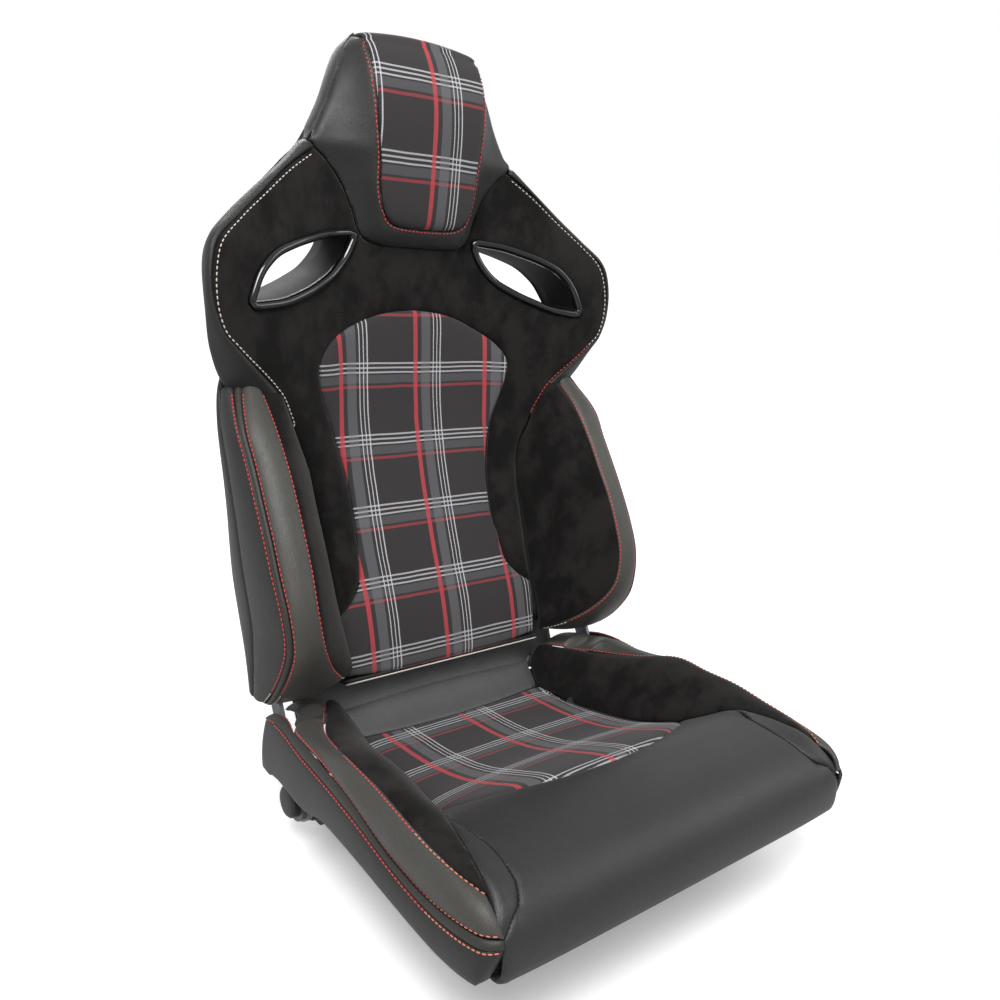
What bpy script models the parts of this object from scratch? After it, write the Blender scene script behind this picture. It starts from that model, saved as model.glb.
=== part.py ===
"""A reclining racing seat: slide runners, cushion frame, recliner with hand wheel, and backrest.

Metres, +Z up. The seat faces -Y, and +X is the occupant's left. The origin is midway between
the four rail feet, on the plane they stand on. Nearby pieces keep at least 0.3 mm between them.
"""

import math

import bmesh
import bpy
from mathutils import Matrix, Vector

GAP = 0.0003
PANEL = 0.005  # thickness of a cover panel with its scrim foam
WADDING = 0.003  # soft layer between a cover and the foam, left open

# Overall
SHOULDER_HALF = 0.290
HEAD_TOP = 0.918
CUSHION_HALF = 0.256
CUSHION_FRONT = -0.337
SKIRT_BOTTOM = 0.094
FRONT_BOTTOM = 0.105

# Runners
RAIL_X = 0.165
RAIL_HALF_LENGTH = 0.210
RAIL_HALF_WIDTH = 0.023
RAIL_HEIGHT = 0.0225
RAIL_WALL = 0.0025
RAIL_LIP_X = 0.010
FOOT_THICK = 0.005
FOOT_INNER_X, FOOT_OUTER_X = 0.108, 0.187
FOOT_LENGTH = 0.040
FOOT_HOLE_X = 0.123
FOOT_BOLT_RADIUS = 0.0043
UPPER_RAIL_TOP = 0.045

# Recliner
PIVOT_Y, PIVOT_Z = 0.050, 0.058
SHAFT_RADIUS = 0.005
BORE_RADIUS = 0.0056
SIDE_FRAME_X = 0.214
HOUSING_X = 0.2173
GEAR_X = 0.2260
ARM_X = 0.2358
ARM_THICK = 0.0048
WHEEL_RADIUS = 0.034

# Release bar
BAR_PIVOT_Y, BAR_Z = -0.150, 0.036
BAR_FRONT_Y, BAR_FRONT_Z = -0.258, 0.040
BAR_X = 0.143

# Backrest front surface on the centre line: height, depth
BACK_LINE = [
    (0.140, 0.096), (0.220, 0.118), (0.280, 0.145), (0.340, 0.172), (0.400, 0.195), (0.460, 0.212),
    (0.540, 0.222), (0.620, 0.227), (0.700, 0.233), (0.780, 0.241), (0.860, 0.247), (0.920, 0.262),
]
# How far the headrest stands in front of that line: height, distance
HEAD_BULGE = [(0.690, 0.015), (0.740, 0.033), (0.820, 0.037), (0.870, 0.030), (0.920, 0.010)]
WING_RISE = 0.060
FOAM_BACK = 0.045
SHELL_WALL = 0.004
# How far the shell stands behind the front line on the centre line: height, distance
SHELL_DEPTH = [
    (0.172, 0.072), (0.220, 0.088), (0.300, 0.096), (0.620, 0.097), (0.740, 0.0975), (0.785, 0.0956),
    (0.820, 0.089), (0.870, 0.071), (0.910, 0.056),
]
# How far behind the front line the shell's rim ends: height, distance
SHELL_RIM = [
    (0.172, 0.050), (0.200, 0.045), (0.240, 0.020), (0.300, 0.010), (0.385, -0.006), (0.480, -0.004),
    (0.560, -0.028), (0.630, -0.029), (0.700, -0.019), (0.750, 0.018), (0.800, 0.034), (0.910, 0.036),
]

# Bolster side profile: height, front edge, rear edge
BOLSTER_LINE = [
    (0.157, 0.098, 0.108), (0.172, 0.076, 0.113), (0.195, 0.052, 0.117), (0.225, 0.032, 0.120), (0.255, 0.026, 0.134),
    (0.295, 0.030, 0.152), (0.335, 0.046, 0.162), (0.375, 0.070, 0.170), (0.415, 0.098, 0.180),
    (0.455, 0.130, 0.190), (0.485, 0.165, 0.197), (0.497, 0.186, 0.202),
]

# Cushion top on the centre line, and along the bolsters: distance from the pivot line, height
CUSHION_LINE = [
    (-0.337, 0.140), (-0.325, 0.158), (-0.290, 0.170), (-0.250, 0.177), (-0.209, 0.176), (-0.146, 0.150),
    (-0.090, 0.124), (-0.030, 0.106), (0.030, 0.097), (0.075, 0.096), (0.110, 0.114),
]
BOLSTER_TOP = [
    (-0.337, 0.140), (-0.325, 0.160), (-0.290, 0.176), (-0.200, 0.184), (-0.076, 0.183), (-0.030, 0.170),
    (0.033, 0.149), (0.110, 0.134),
]


# ---------------------------------------------------------------- helpers

def clear_scene():
    for item in list(bpy.data.objects):
        bpy.data.objects.remove(item)


def smooth(t):
    t = min(max(t, 0.0), 1.0)
    return t * t * (3.0 - 2.0 * t)


def along(points, t, column=1):
    """A smooth curve through a table's points, with its tangents from the neighbours."""
    if t <= points[0][0]:
        return points[0][column]
    if t >= points[-1][0]:
        return points[-1][column]
    i = max(k for k in range(len(points) - 1) if points[k][0] <= t)

    def slope(k):
        before, after = points[max(k - 1, 0)], points[min(k + 1, len(points) - 1)]
        return (after[column] - before[column]) / (after[0] - before[0])

    width = points[i + 1][0] - points[i][0]
    s = (t - points[i][0]) / width
    start, end = points[i][column], points[i + 1][column]
    return (
        start * (1 + 2 * s) * (1 - s) ** 2
        + end * s * s * (3 - 2 * s)
        + slope(i) * width * s * (1 - s) ** 2
        + slope(i + 1) * width * s * s * (s - 1)
    )


def material(name, colour, roughness, metallic=0.0):
    made = bpy.data.materials.get(name)
    if made is None:
        made = bpy.data.materials.new(name)
        made.use_nodes = True
        shader = made.node_tree.nodes["Principled BSDF"]
        shader.inputs["Base Color"].default_value = (*colour, 1.0)
        shader.inputs["Roughness"].default_value = roughness
        shader.inputs["Metallic"].default_value = metallic
    return made


STEEL = ("painted_steel", (0.03, 0.03, 0.032), 0.45, 0.6)
ZINC = ("zinc_steel", (0.45, 0.45, 0.46), 0.35, 0.9)
ARM_GREY = ("arm_steel", (0.30, 0.31, 0.31), 0.45, 0.7)
SHELL_BLACK = ("shell_plastic", (0.012, 0.012, 0.013), 0.4)
BEZEL_BLACK = ("bezel_plastic", (0.006, 0.006, 0.007), 0.15)
NYLON = ("nylon", (0.55, 0.53, 0.48), 0.5)
FOAM = ("foam", (0.50, 0.46, 0.30), 0.9)
LEATHER = ("leather", (0.035, 0.035, 0.034), 0.42)
SUEDE = ("suede", (0.012, 0.012, 0.011), 0.95)
PLAID = ("plaid", (0.075, 0.068, 0.070), 0.85)
KNOB_BLACK = ("knob_plastic", (0.015, 0.015, 0.016), 0.5)


def add(name, mesh, finish, smooth_angle=math.radians(35)):
    mesh.materials.append(material(*finish))
    mesh.shade_smooth()
    mesh.set_sharp_from_angle(angle=smooth_angle)
    made = bpy.data.objects.new(name, mesh)
    bpy.context.scene.collection.objects.link(made)
    return made


def finish_mesh(name, bm):
    bmesh.ops.recalc_face_normals(bm, faces=bm.faces)
    bmesh.ops.triangulate(bm, faces=[f for f in bm.faces if len(f.verts) > 4])
    mesh = bpy.data.meshes.new(name)
    bm.to_mesh(mesh)
    bm.free()
    return mesh


def mirrored(half):
    """A closed outline from its half with x >= 0, listed from bottom to top."""
    inner = [(-x, v) for x, v in reversed(half) if x > 1e-6]
    return list(half) + inner


def circle(centre, radius, count=16):
    turn = 2 * math.pi / count
    return [(centre[0] + radius * math.cos(i * turn), centre[1] + radius * math.sin(i * turn)) for i in range(count)]


def rounded(points, radius, steps=4):
    """A polygon with each corner replaced by an arc of the radius, or as much of it as fits."""
    result = []
    for i, corner in enumerate(points):
        here = Vector(corner)
        before = Vector(points[i - 1]) - here
        after = Vector(points[(i + 1) % len(points)]) - here
        angle = before.angle(after)
        if angle > math.radians(176):
            result.append(tuple(here))
            continue
        reach = min(radius / math.tan(angle / 2), 0.48 * before.length, 0.48 * after.length)
        start, end = here + before.normalized() * reach, here + after.normalized() * reach
        for k in range(steps + 1):
            t = k / steps
            result.append(tuple(start * (1 - t) ** 2 + here * 2 * t * (1 - t) + end * t * t))
    return result


def softened(points, rounds=2):
    """Corner cutting: a closed polygon becomes a smooth closed curve."""
    for _ in range(rounds):
        cut = []
        for i, corner in enumerate(points):
            here, after = Vector(corner), Vector(points[(i + 1) % len(points)])
            cut += [tuple(here * 0.75 + after * 0.25), tuple(here * 0.25 + after * 0.75)]
        points = cut
    return points


def grown(points, amount):
    """The outline moved outward by the amount, or inward when it is negative."""
    area = sum(a[0] * b[1] - b[0] * a[1] for a, b in zip(points, points[1:] + points[:1]))
    side = math.copysign(amount, area) * (1 if amount >= 0 else -1)
    result = []
    for i, corner in enumerate(points):
        before, here, after = Vector(points[i - 1]), Vector(corner), Vector(points[(i + 1) % len(points)])
        edge_in, edge_out = (here - before).normalized(), (after - here).normalized()
        normal = Vector((edge_in.y + edge_out.y, -edge_in.x - edge_out.x)).normalized()
        result.append(tuple(here + normal * side))
    return result


def panel(name, outline, low, high, place, finish, holes=(), cuts_u=(), cuts_v=()):
    """A closed solid over a flat outline (u, v) with holes, between two surfaces low and high.

    place(u, v, w) gives the point in space. The cuts add rows of vertices for curved surfaces.
    """
    bm = bmesh.new()
    for loop in (outline, *holes):
        verts = [bm.verts.new((u, v, 0)) for u, v in loop]
        for i, vert in enumerate(verts):
            bm.edges.new((vert, verts[(i + 1) % len(verts)]))
    bmesh.ops.triangle_fill(bm, use_beauty=True, use_dissolve=False, edges=bm.edges[:], normal=(0, 0, 1))
    for normal, places in (((1, 0, 0), cuts_u), ((0, 1, 0), cuts_v)):
        for where in places:
            geometry = bm.verts[:] + bm.edges[:] + bm.faces[:]
            point = Vector(normal) * where
            bmesh.ops.bisect_plane(bm, geom=geometry, dist=1e-5, plane_co=point, plane_no=normal)
    bmesh.ops.triangulate(bm, faces=bm.faces)
    made = bmesh.ops.extrude_face_region(bm, geom=bm.faces[:], use_keep_orig=True)
    top = {item for item in made["geom"] if isinstance(item, bmesh.types.BMVert)}
    for vert in bm.verts:
        u, v = vert.co.x, vert.co.y
        vert.co = place(u, v, (high if vert in top else low)(u, v))
    return add(name, finish_mesh(name, bm), finish)


def flat(value):
    return lambda u, v: value


def plate(name, outline, x_from, x_to, finish, holes=()):
    """A flat plate parallel to the YZ plane."""
    return panel(name, outline, flat(x_from), flat(x_to), lambda y, z, x: (x, y, z), finish, holes)


def bar(name, section, y_from, y_to, finish):
    """A straight bar of the (x, z) section along Y."""
    return panel(name, section, flat(y_from), flat(y_to), lambda x, z, y: (x, y, z), finish)


def lathe(name, profile, finish, axis="X", place=(0, 0, 0), count=20, closed=False):
    """A turned solid about an axis, from (radius, distance along the axis) points.

    With closed, the profile is a ring's section. Otherwise it ends on the axis.
    """
    bm = bmesh.new()
    rings = []
    for radius, distance in profile:
        if radius < 1e-7:
            rings.append([bm.verts.new((0, 0, distance))])
            continue
        rings.append([bm.verts.new((x, y, distance)) for x, y in circle((0, 0), radius, count)])
    pairs = list(zip(rings, rings[1:])) + ([(rings[-1], rings[0])] if closed else [])
    for first, second in pairs:
        for i in range(count):
            k = (i + 1) % count
            corners = [first[i % len(first)], first[k % len(first)], second[k % len(second)], second[i % len(second)]]
            corners = list(dict.fromkeys(corners))
            if len(corners) > 2:
                bm.faces.new(corners)
    turns = {"X": Matrix.Rotation(math.pi / 2, 4, "Y"), "Y": Matrix.Rotation(-math.pi / 2, 4, "X"), "Z": Matrix()}
    made = add(name, finish_mesh(name, bm), finish)
    made.matrix_world = Matrix.Translation(place) @ turns[axis]
    return made


def rod(name, path, radius, finish, sides=1):
    """A bent round rod or wire through the points."""
    curve = bpy.data.curves.new(name, "CURVE")
    curve.dimensions = "3D"
    curve.bevel_depth = radius
    curve.bevel_resolution = sides
    curve.use_fill_caps = True
    spline = curve.splines.new("POLY")
    spline.points.add(len(path) - 1)
    for point, place in zip(spline.points, path):
        point.co = (*place, 1.0)
    curve.materials.append(material(*finish))
    made = bpy.data.objects.new(name, curve)
    bpy.context.scene.collection.objects.link(made)
    return made


def bent(points, radius, steps=3):
    """A path with its inner corners rounded."""
    result = [Vector(points[0])]
    for before, here, after in zip(points, points[1:], points[2:]):
        before, here, after = Vector(before), Vector(here), Vector(after)
        reach_in = min(radius, 0.45 * (before - here).length)
        reach_out = min(radius, 0.45 * (after - here).length)
        start = here + (before - here).normalized() * reach_in
        end = here + (after - here).normalized() * reach_out
        for k in range(steps + 1):
            t = k / steps
            result.append(start * (1 - t) ** 2 + here * 2 * t * (1 - t) + end * t * t)
    return result + [Vector(points[-1])]


def both_sides():
    return (("left", 1), ("right", -1))


def flip(outline, side):
    """An outline listed for the left side, on either side."""
    return [(x * side, v) for x, v in outline]


def attach(hub, names):
    """Parent the named pieces to an empty on their joint's axis, without moving them."""
    for name in names:
        child = bpy.data.objects[name]
        where = child.matrix_world.copy()
        child.parent = hub
        child.matrix_parent_inverse = hub.matrix_world.inverted()
        child.matrix_world = where


def joint_empty(name, place):
    hub = bpy.data.objects.new(name, None)
    bpy.context.scene.collection.objects.link(hub)
    hub.location = place
    bpy.context.view_layer.update()
    return hub


# ---------------------------------------------------------------- surfaces

def back_front(x, z):
    """The backrest's front surface without the headrest's bulge: depth at a width and height."""
    wings = smooth((z - 0.40) / 0.10) * (1 - smooth((z - 0.70) / 0.10))
    return along(BACK_LINE, z) - WING_RISE * smooth((abs(x) - 0.09) / 0.21) * wings


def cover_front(x, z):
    """The same surface with the headrest's bulge."""
    bulge = along(HEAD_BULGE, z) * smooth((z - 0.675) / 0.02) * (1 - smooth((abs(x) - 0.08) / 0.035))
    return back_front(x, z) - bulge


SHELL_HALF = [
    (0.172, 0.205), (0.200, 0.245), (0.240, 0.262), (0.500, 0.262), (0.560, 0.276), (0.630, 0.284), (0.664, 0.278),
    (0.696, 0.249), (0.722, 0.215), (0.749, 0.180), (0.785, 0.142), (0.8275, 0.117), (0.892, 0.088), (0.910, 0.060),
]


def shell_back(x, z):
    """The shell's outer surface: boxy beside the hoop's legs, and rounder above them."""
    across = min(abs(x) / along(SHELL_HALF, z), 1.0)
    depth, rim = along(SHELL_DEPTH, z), along(SHELL_RIM, z)
    return along(BACK_LINE, z) + depth - (depth - rim) * across ** (10 - 6.5 * smooth((z - 0.26) / 0.30))


def foam_back(x, z):
    """The foam's rear surface: thin at the foot, where the cross tube is, and at the wings' edges."""
    across = min(abs(x) / along(UPPER_HALF, z), 1.0)
    thick = FOAM_BACK - 0.017 * (1 - smooth((z - 0.300) / 0.05))
    return back_front(x, z) + thick - 0.028 * smooth((z - 0.46) / 0.06) * across ** 4


def cushion_top(x, y):
    centre, edge = along(CUSHION_LINE, y), along(BOLSTER_TOP, y)
    return centre + (edge - centre) * smooth((abs(x) - 0.12) / 0.10)


def cushion_bottom(x, y):
    """The foam's underside: lower over the springs at the rear, higher over the recliner."""
    rear, side = smooth((y + 0.03) / 0.05), smooth((abs(x) - 0.195) / 0.012)
    return 0.0815 + 0.005 * side * (1 - rear) + rear * (0.0195 * side - 0.007 * (1 - side))


def back_place(x, z, y):
    return (x, y, z)


def cushion_place(x, y, z):
    return (x, y, z)


# Half width of the padded front: height, width
UPPER_HALF = [
    (0.152, 0.150), (0.165, 0.158), (0.452, 0.158), (0.500, 0.205), (0.5205, 0.262), (0.557, 0.282), (0.595, 0.289),
    (0.630, SHOULDER_HALF), (0.666, 0.284), (0.696, 0.255), (0.722, 0.221), (0.749, 0.186), (0.785, 0.147),
    (0.8275, 0.123), (0.860, 0.110), (0.892, 0.0945), (0.909, 0.083), (HEAD_TOP, 0.060),
]
UPPER_OUTLINE = mirrored([(x, z) for z, x in UPPER_HALF])
BACK_INSERT = mirrored([
    (0.151, 0.158), (0.150, 0.234), (0.114, 0.268), (0.105, 0.327), (0.107, 0.384), (0.118, 0.440), (0.137, 0.497),
    (0.141, 0.534), (0.126, 0.566), (0.090, 0.588), (0.045, 0.597),
])
HEAD_INSERT = mirrored([
    (0.045, 0.697), (0.060, 0.706), (0.069, 0.743), (0.071, 0.780), (0.0757, 0.825), (0.0795, 0.870), (0.078, 0.905),
])
SLOT = softened([(0.083, 0.691), (0.150, 0.683), (0.206, 0.668), (0.238, 0.634), (0.245, 0.597), (0.190, 0.601),
                 (0.122, 0.630)], 1)
SLOT_WALL = 0.003
BACK_CUTS_U = (-0.23, -0.17, -0.115, -0.08, 0.0, 0.08, 0.115, 0.17, 0.23)
BACK_CUTS_V = (0.22, 0.30, 0.38, 0.46, 0.53, 0.675, 0.70, 0.76, 0.84)


# ---------------------------------------------------------------- runners

def make_runners():
    base = FOOT_THICK + GAP
    w, h, t, lip = RAIL_HALF_WIDTH, RAIL_HEIGHT, RAIL_WALL, RAIL_LIP_X
    lower = [
        (-w, 0), (w, 0), (w, h), (lip, h), (lip, h - t), (w - t, h - t),
        (w - t, t), (t - w, t), (t - w, h - t), (-lip, h - t), (-lip, h), (-w, h),
    ]
    upper = [
        (-0.0185, 0.0108), (0.0185, 0.0108), (0.0185, 0.0138), (0.004, 0.0138), (0.004, 0.042), (0.016, 0.042),
        (0.016, UPPER_RAIL_TOP), (-0.016, UPPER_RAIL_TOP), (-0.016, 0.042), (-0.004, 0.042), (-0.004, 0.0138),
        (-0.0185, 0.0138),
    ]
    glide = [(-0.018, 0.0082), (0.018, 0.0082), (0.018, 0.0105), (-0.018, 0.0105)]
    for side, s in both_sides():
        x = RAIL_X * s
        bar(f"lower_rail_{side}", [(x + u, base + v) for u, v in lower], -RAIL_HALF_LENGTH, RAIL_HALF_LENGTH, ZINC)
        bar(f"upper_rail_{side}", [(x + u, v) for u, v in upper], -0.200, 0.190, STEEL)
        bar(f"rail_glide_{side}", [(x + u, v) for u, v in glide], -0.180, 0.170, NYLON)
        for end, y in (("front", -0.190), ("rear", 0.190)):
            rear, front = y + FOOT_LENGTH / 2, y - FOOT_LENGTH / 2
            corners = [(FOOT_INNER_X, front), (FOOT_OUTER_X, front), (FOOT_OUTER_X, rear), (FOOT_INNER_X, rear)]
            hole = circle((FOOT_HOLE_X * s, y), FOOT_BOLT_RADIUS)
            outline = flip(rounded(corners, 0.006, 2), s)
            panel(f"rail_foot_{end}_{side}", outline, flat(0.0), flat(FOOT_THICK), cushion_place, STEEL, [hole])


# ---------------------------------------------------------------- cushion frame

SIDE_OUTLINE = [
    (-0.255, 0.0486), (0.008, 0.0486), (0.028, 0.028), (0.066, 0.026), (0.090, 0.044), (0.110, 0.050),
    (0.112, 0.074), (0.085, 0.082), (0.068, 0.092), (0.034, 0.092), (0.008, 0.084), (-0.255, 0.084),
]


def make_cushion_frame():
    bore = circle((PIVOT_Y, PIVOT_Z), BORE_RADIUS, 12)
    lightening = [circle((y, 0.066), 0.011, 12) for y in (-0.175, -0.125, -0.075)]
    for side, s in both_sides():
        plate(
            f"side_frame_{side}", rounded(SIDE_OUTLINE, 0.012, 2), SIDE_FRAME_X * s, (SIDE_FRAME_X + 0.003) * s, STEEL,
            [bore, *lightening],
        )
        leg = SIDE_FRAME_X - GAP
        angle = [(0.151, 0.0453), (leg, 0.0453), (leg, 0.076), (leg - 0.003, 0.076), (leg - 0.003, 0.0483), (0.151, 0.0483)]
        bar(f"rail_bracket_{side}", flip(angle, s), -0.245, 0.020, STEEL)
        disc = [
            (BORE_RADIUS, 0), (0.029, 0), (0.029, 0.0070), (0.027, GEAR_X - HOUSING_X - GAP),
            (BORE_RADIUS, GEAR_X - HOUSING_X - GAP),
        ]
        disc = [(r, (HOUSING_X + d) * s) for r, d in disc]
        lathe(f"recliner_housing_{side}", disc, ZINC, place=(0, PIVOT_Y, PIVOT_Z), closed=True)
    tube_end = SIDE_FRAME_X - GAP - 0.003 - GAP
    make_tube("front_cross_tube", 0.011, 0.009, tube_end, -0.225, 0.066)
    make_tube("rear_cross_tube", 0.011, 0.009, SIDE_FRAME_X - GAP, 0.092, 0.0605)
    pan = rounded([(-0.208, -0.262), (0.208, -0.262), (0.208, -0.150), (-0.208, -0.150)], 0.012, 2)
    panel(
        "seat_pan", pan, lambda x, y: pan_height(y), lambda x, y: pan_height(y) + 0.0020, cushion_place, STEEL,
        cuts_v=(-0.255, -0.245, -0.17),
    )
    for number, x in enumerate((-0.120, -0.040, 0.040, 0.120), 1):
        rod(f"cushion_spring_{number}", zigzag(x), 0.0018, ZINC, sides=0)


def pan_height(y):
    """The pan lies over the front tube, and its front edge rolls down."""
    return 0.0776 - 0.016 * smooth((-0.243 - y) / 0.022)


def make_tube(name, outer, inner, half_length, y, z):
    """A straight cross tube, open at both ends."""
    ring = [(inner, -half_length), (outer, -half_length), (outer, half_length), (inner, half_length)]
    lathe(name, ring, STEEL, place=(0, y, z), count=16, closed=True)


def zigzag(x, swing=0.022, y_from=-0.146, y_to=0.078, waves=5, z=0.0695):
    """A flat zigzag spring wire from the pan's rear edge to the rear tube."""
    step = (y_to - y_from) / (2 * waves)
    corners = [(x, y_from, z)]
    for i in range(2 * waves - 1):
        reach = swing if i % 2 == 0 else -swing
        y = y_from + (i + 1) * step
        corners += [(x + reach, y - step * 0.35, z), (x + reach, y + step * 0.35, z)]
    corners.append((x, y_to, z))
    return bent(corners, 0.008, 1)


# ---------------------------------------------------------------- release bar

def make_release_bar():
    journal = RAIL_X - 0.004 - GAP
    right = [
        (-journal, BAR_PIVOT_Y, BAR_Z), (-BAR_X, BAR_PIVOT_Y, BAR_Z), (-BAR_X, -0.215, BAR_Z),
        (-BAR_X + 0.008, BAR_FRONT_Y, BAR_FRONT_Z),
    ]
    left = [(-x, y, z) for x, y, z in reversed(right)]
    rod("release_bar", bent(right + left, 0.014), 0.004, STEEL)
    for side, s in both_sides():
        ring = [(0.0043, 0.1515), (0.0056, 0.1515), (0.0056, journal), (0.0043, journal)]
        ring = [(r, d * s) for r, d in ring]
        lathe(f"release_bush_{side}", ring, NYLON, place=(0, BAR_PIVOT_Y, BAR_Z), count=16, closed=True)


# ---------------------------------------------------------------- recliner

ARM_EYE = 0.025
ARM_LINE = [(PIVOT_Y, PIVOT_Z), (0.098, 0.145), (0.137, 0.205), (0.170, 0.252)]
ARM_HALF = 0.012
ARM_BOLTS = [(0.1465, 0.2215), (0.1655, 0.2465)]


def arm_outline():
    """A round eye at the pivot and a strip along the arm's centre line."""
    centre = [Vector(p) for p in ARM_LINE]
    sides = {1: [], -1: []}
    for side in sides:
        for i in range(1, len(centre)):
            before = (centre[i] - centre[i - 1]).normalized()
            after = (centre[min(i + 1, len(centre) - 1)] - centre[i])
            direction = (before + (after.normalized() if after.length else before)).normalized()
            normal = Vector((direction.y, -direction.x))
            sides[side].append(tuple(centre[i] + normal * ARM_HALF * side))
    start = (centre[1] - centre[0]).angle_signed(Vector((1, 0)))
    spread = math.radians(32)
    count = 18
    eye = []
    for i in range(count + 1):
        turn = start + spread + (2 * math.pi - 2 * spread) * i / count
        eye.append((PIVOT_Y + ARM_EYE * math.cos(turn), PIVOT_Z + ARM_EYE * math.sin(turn)))
    end_left, end_right = sides[-1], sides[1]
    tip = rounded([end_left[-1], tuple(Vector(end_left[-1]) + Vector((0.007, 0.009))),
                   tuple(Vector(end_right[-1]) + Vector((0.007, 0.009))), end_right[-1]], 0.008, 3)[5:-4]
    return eye + end_right[:-1] + [end_right[-1]] + list(reversed(tip)) + list(reversed(end_left))


def make_recliner():
    bore = circle((PIVOT_Y, PIVOT_Z), BORE_RADIUS, 12)
    bolt_holes = [circle(place, 0.0038, 10) for place in ARM_BOLTS]
    for side, s in both_sides():
        width = ARM_X - GAP - GEAR_X
        disc = [(BORE_RADIUS, 0), (0.025, 0), (0.027, 0.0020), (0.027, width), (BORE_RADIUS, width)]
        disc = [(r, (GEAR_X + d) * s) for r, d in disc]
        lathe(f"recliner_gear_{side}", disc, ZINC, place=(0, PIVOT_Y, PIVOT_Z), closed=True)
        plate(f"recliner_arm_{side}", arm_outline(), ARM_X * s, (ARM_X + ARM_THICK) * s, ARM_GREY, [bore, *bolt_holes])
        for number, (y, z) in enumerate(ARM_BOLTS, 1):
            outer = ARM_X + ARM_THICK + GAP
            bolt = [(0, 0.2347), (0.0034, 0.2347), (0.0034, outer), (0.0065, outer), (0.0065, outer + 0.0030),
                    (0.0045, outer + 0.0042), (0, outer + 0.0042)]
            lathe(f"arm_bolt_{number}_{side}", [(r, d * s) for r, d in bolt], ZINC, place=(0, y, z), count=12)
    outer = ARM_X + ARM_THICK
    lathe("recline_shaft", [(0, -outer), (SHAFT_RADIUS, -outer), (SHAFT_RADIUS, 0.276), (0, 0.276)], ZINC,
          place=(0, PIVOT_Y, PIVOT_Z), count=16)
    cap = [(0, -outer - GAP), (0.019, -outer - GAP), (0.019, -outer - 0.007), (0.016, -outer - 0.0100),
           (0.009, -outer - 0.011), (0, -outer - 0.011)]
    lathe("pivot_cap", cap, KNOB_BLACK, place=(0, PIVOT_Y, PIVOT_Z), count=24)
    make_handwheel()


def make_handwheel():
    """An eight-lobed wheel with a bore for the shaft, closed by a push-in cap."""
    bore, cap_radius = SHAFT_RADIUS + GAP, 0.012
    start, end, recess = 0.2580, 0.2830, 0.2775
    count, lobes = 32, 8
    bm = bmesh.new()
    rings = []
    steps = [
        (None, bore, start), (0.90, 0, start), (1.0, 0, start + 0.004), (1.0, 0, end - 0.006), (0.93, 0, end - 0.001),
        (0.80, 0, end), (None, cap_radius, end), (None, cap_radius, recess), (None, bore, recess),
    ]
    for scale, radius, x in steps:
        ring = []
        for i in range(count):
            turn = 2 * math.pi * i / count
            r = radius if scale is None else scale * (WHEEL_RADIUS + 0.002 * math.cos(lobes * turn))
            ring.append(bm.verts.new((x, PIVOT_Y + r * math.cos(turn), PIVOT_Z + r * math.sin(turn))))
        rings.append(ring)
    for first, second in zip(rings, rings[1:] + rings[:1]):
        for i in range(count):
            k = (i + 1) % count
            bm.faces.new([first[i], first[k], second[k], second[i]])
    add("recline_handwheel", finish_mesh("recline_handwheel", bm), KNOB_BLACK)
    cap = [(0, recess + GAP), (cap_radius - GAP, recess + GAP), (cap_radius - GAP, end), (0.009, end + 0.0015),
           (0, end + 0.002)]
    lathe("handwheel_cap", cap, KNOB_BLACK, place=(0, PIVOT_Y, PIVOT_Z), count=20)


# ---------------------------------------------------------------- backrest frame

FRAME_LINE = [(0.2235, 0.228), (0.2235, 0.285), (0.205, 0.375), (0.180, 0.460), (0.150, 0.535), (0.082, 0.590),
              (0.064, 0.640), (0.064, 0.790)]
FRAME_RADIUS = 0.010


def frame_depth(x, z):
    """The hoop runs behind the foam, and comes forward to the arms at its lower ends."""
    low = along([(0.228, 0.158), (0.285, 0.185), (0.375, 0.228), (0.460, 0.259)], z)
    behind = back_front(x, z) + FOAM_BACK + FRAME_RADIUS + 0.004
    return low if z < 0.46 else max(behind, low)


def make_back_frame():
    half = [(x, frame_depth(x, z), z) for x, z in FRAME_LINE]
    top = (0.046, frame_depth(0.046, 0.815), 0.815)
    hoop = half + [top] + [(-x, y, z) for x, y, z in [top] + half[::-1]]
    rod("back_frame_hoop", bent(hoop, 0.030, 2), FRAME_RADIUS, STEEL)
    z = 0.262
    end = 0.2235 - FRAME_RADIUS - GAP * 2
    make_tube("back_cross_tube", 0.0075, 0.006, end, frame_depth(0.2235, z) + 0.003, z)
    for number, z in enumerate((0.330, 0.410), 1):
        rod(f"lumbar_wire_{number}", lumbar(z), 0.0018, ZINC, sides=0)


def lumbar(z, swing=0.014, waves=4):
    """A zigzag wire behind the foam, between the hoop's legs."""
    end = along([(h, x) for x, h in FRAME_LINE], z) - FRAME_RADIUS - 0.003
    step = end / waves
    flat_line = [(-end, z)]
    for i in range(2 * waves - 1):
        reach = swing if i % 2 == 0 else -swing
        x = -end + (i + 1) * step
        flat_line += [(x - step * 0.35, z + reach), (x + step * 0.35, z + reach)]
    flat_line.append((end, z))
    corners = [(x, along(BACK_LINE, h) + FOAM_BACK + 0.006, h) for x, h in flat_line]
    return bent(corners, 0.007, 1)


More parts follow.
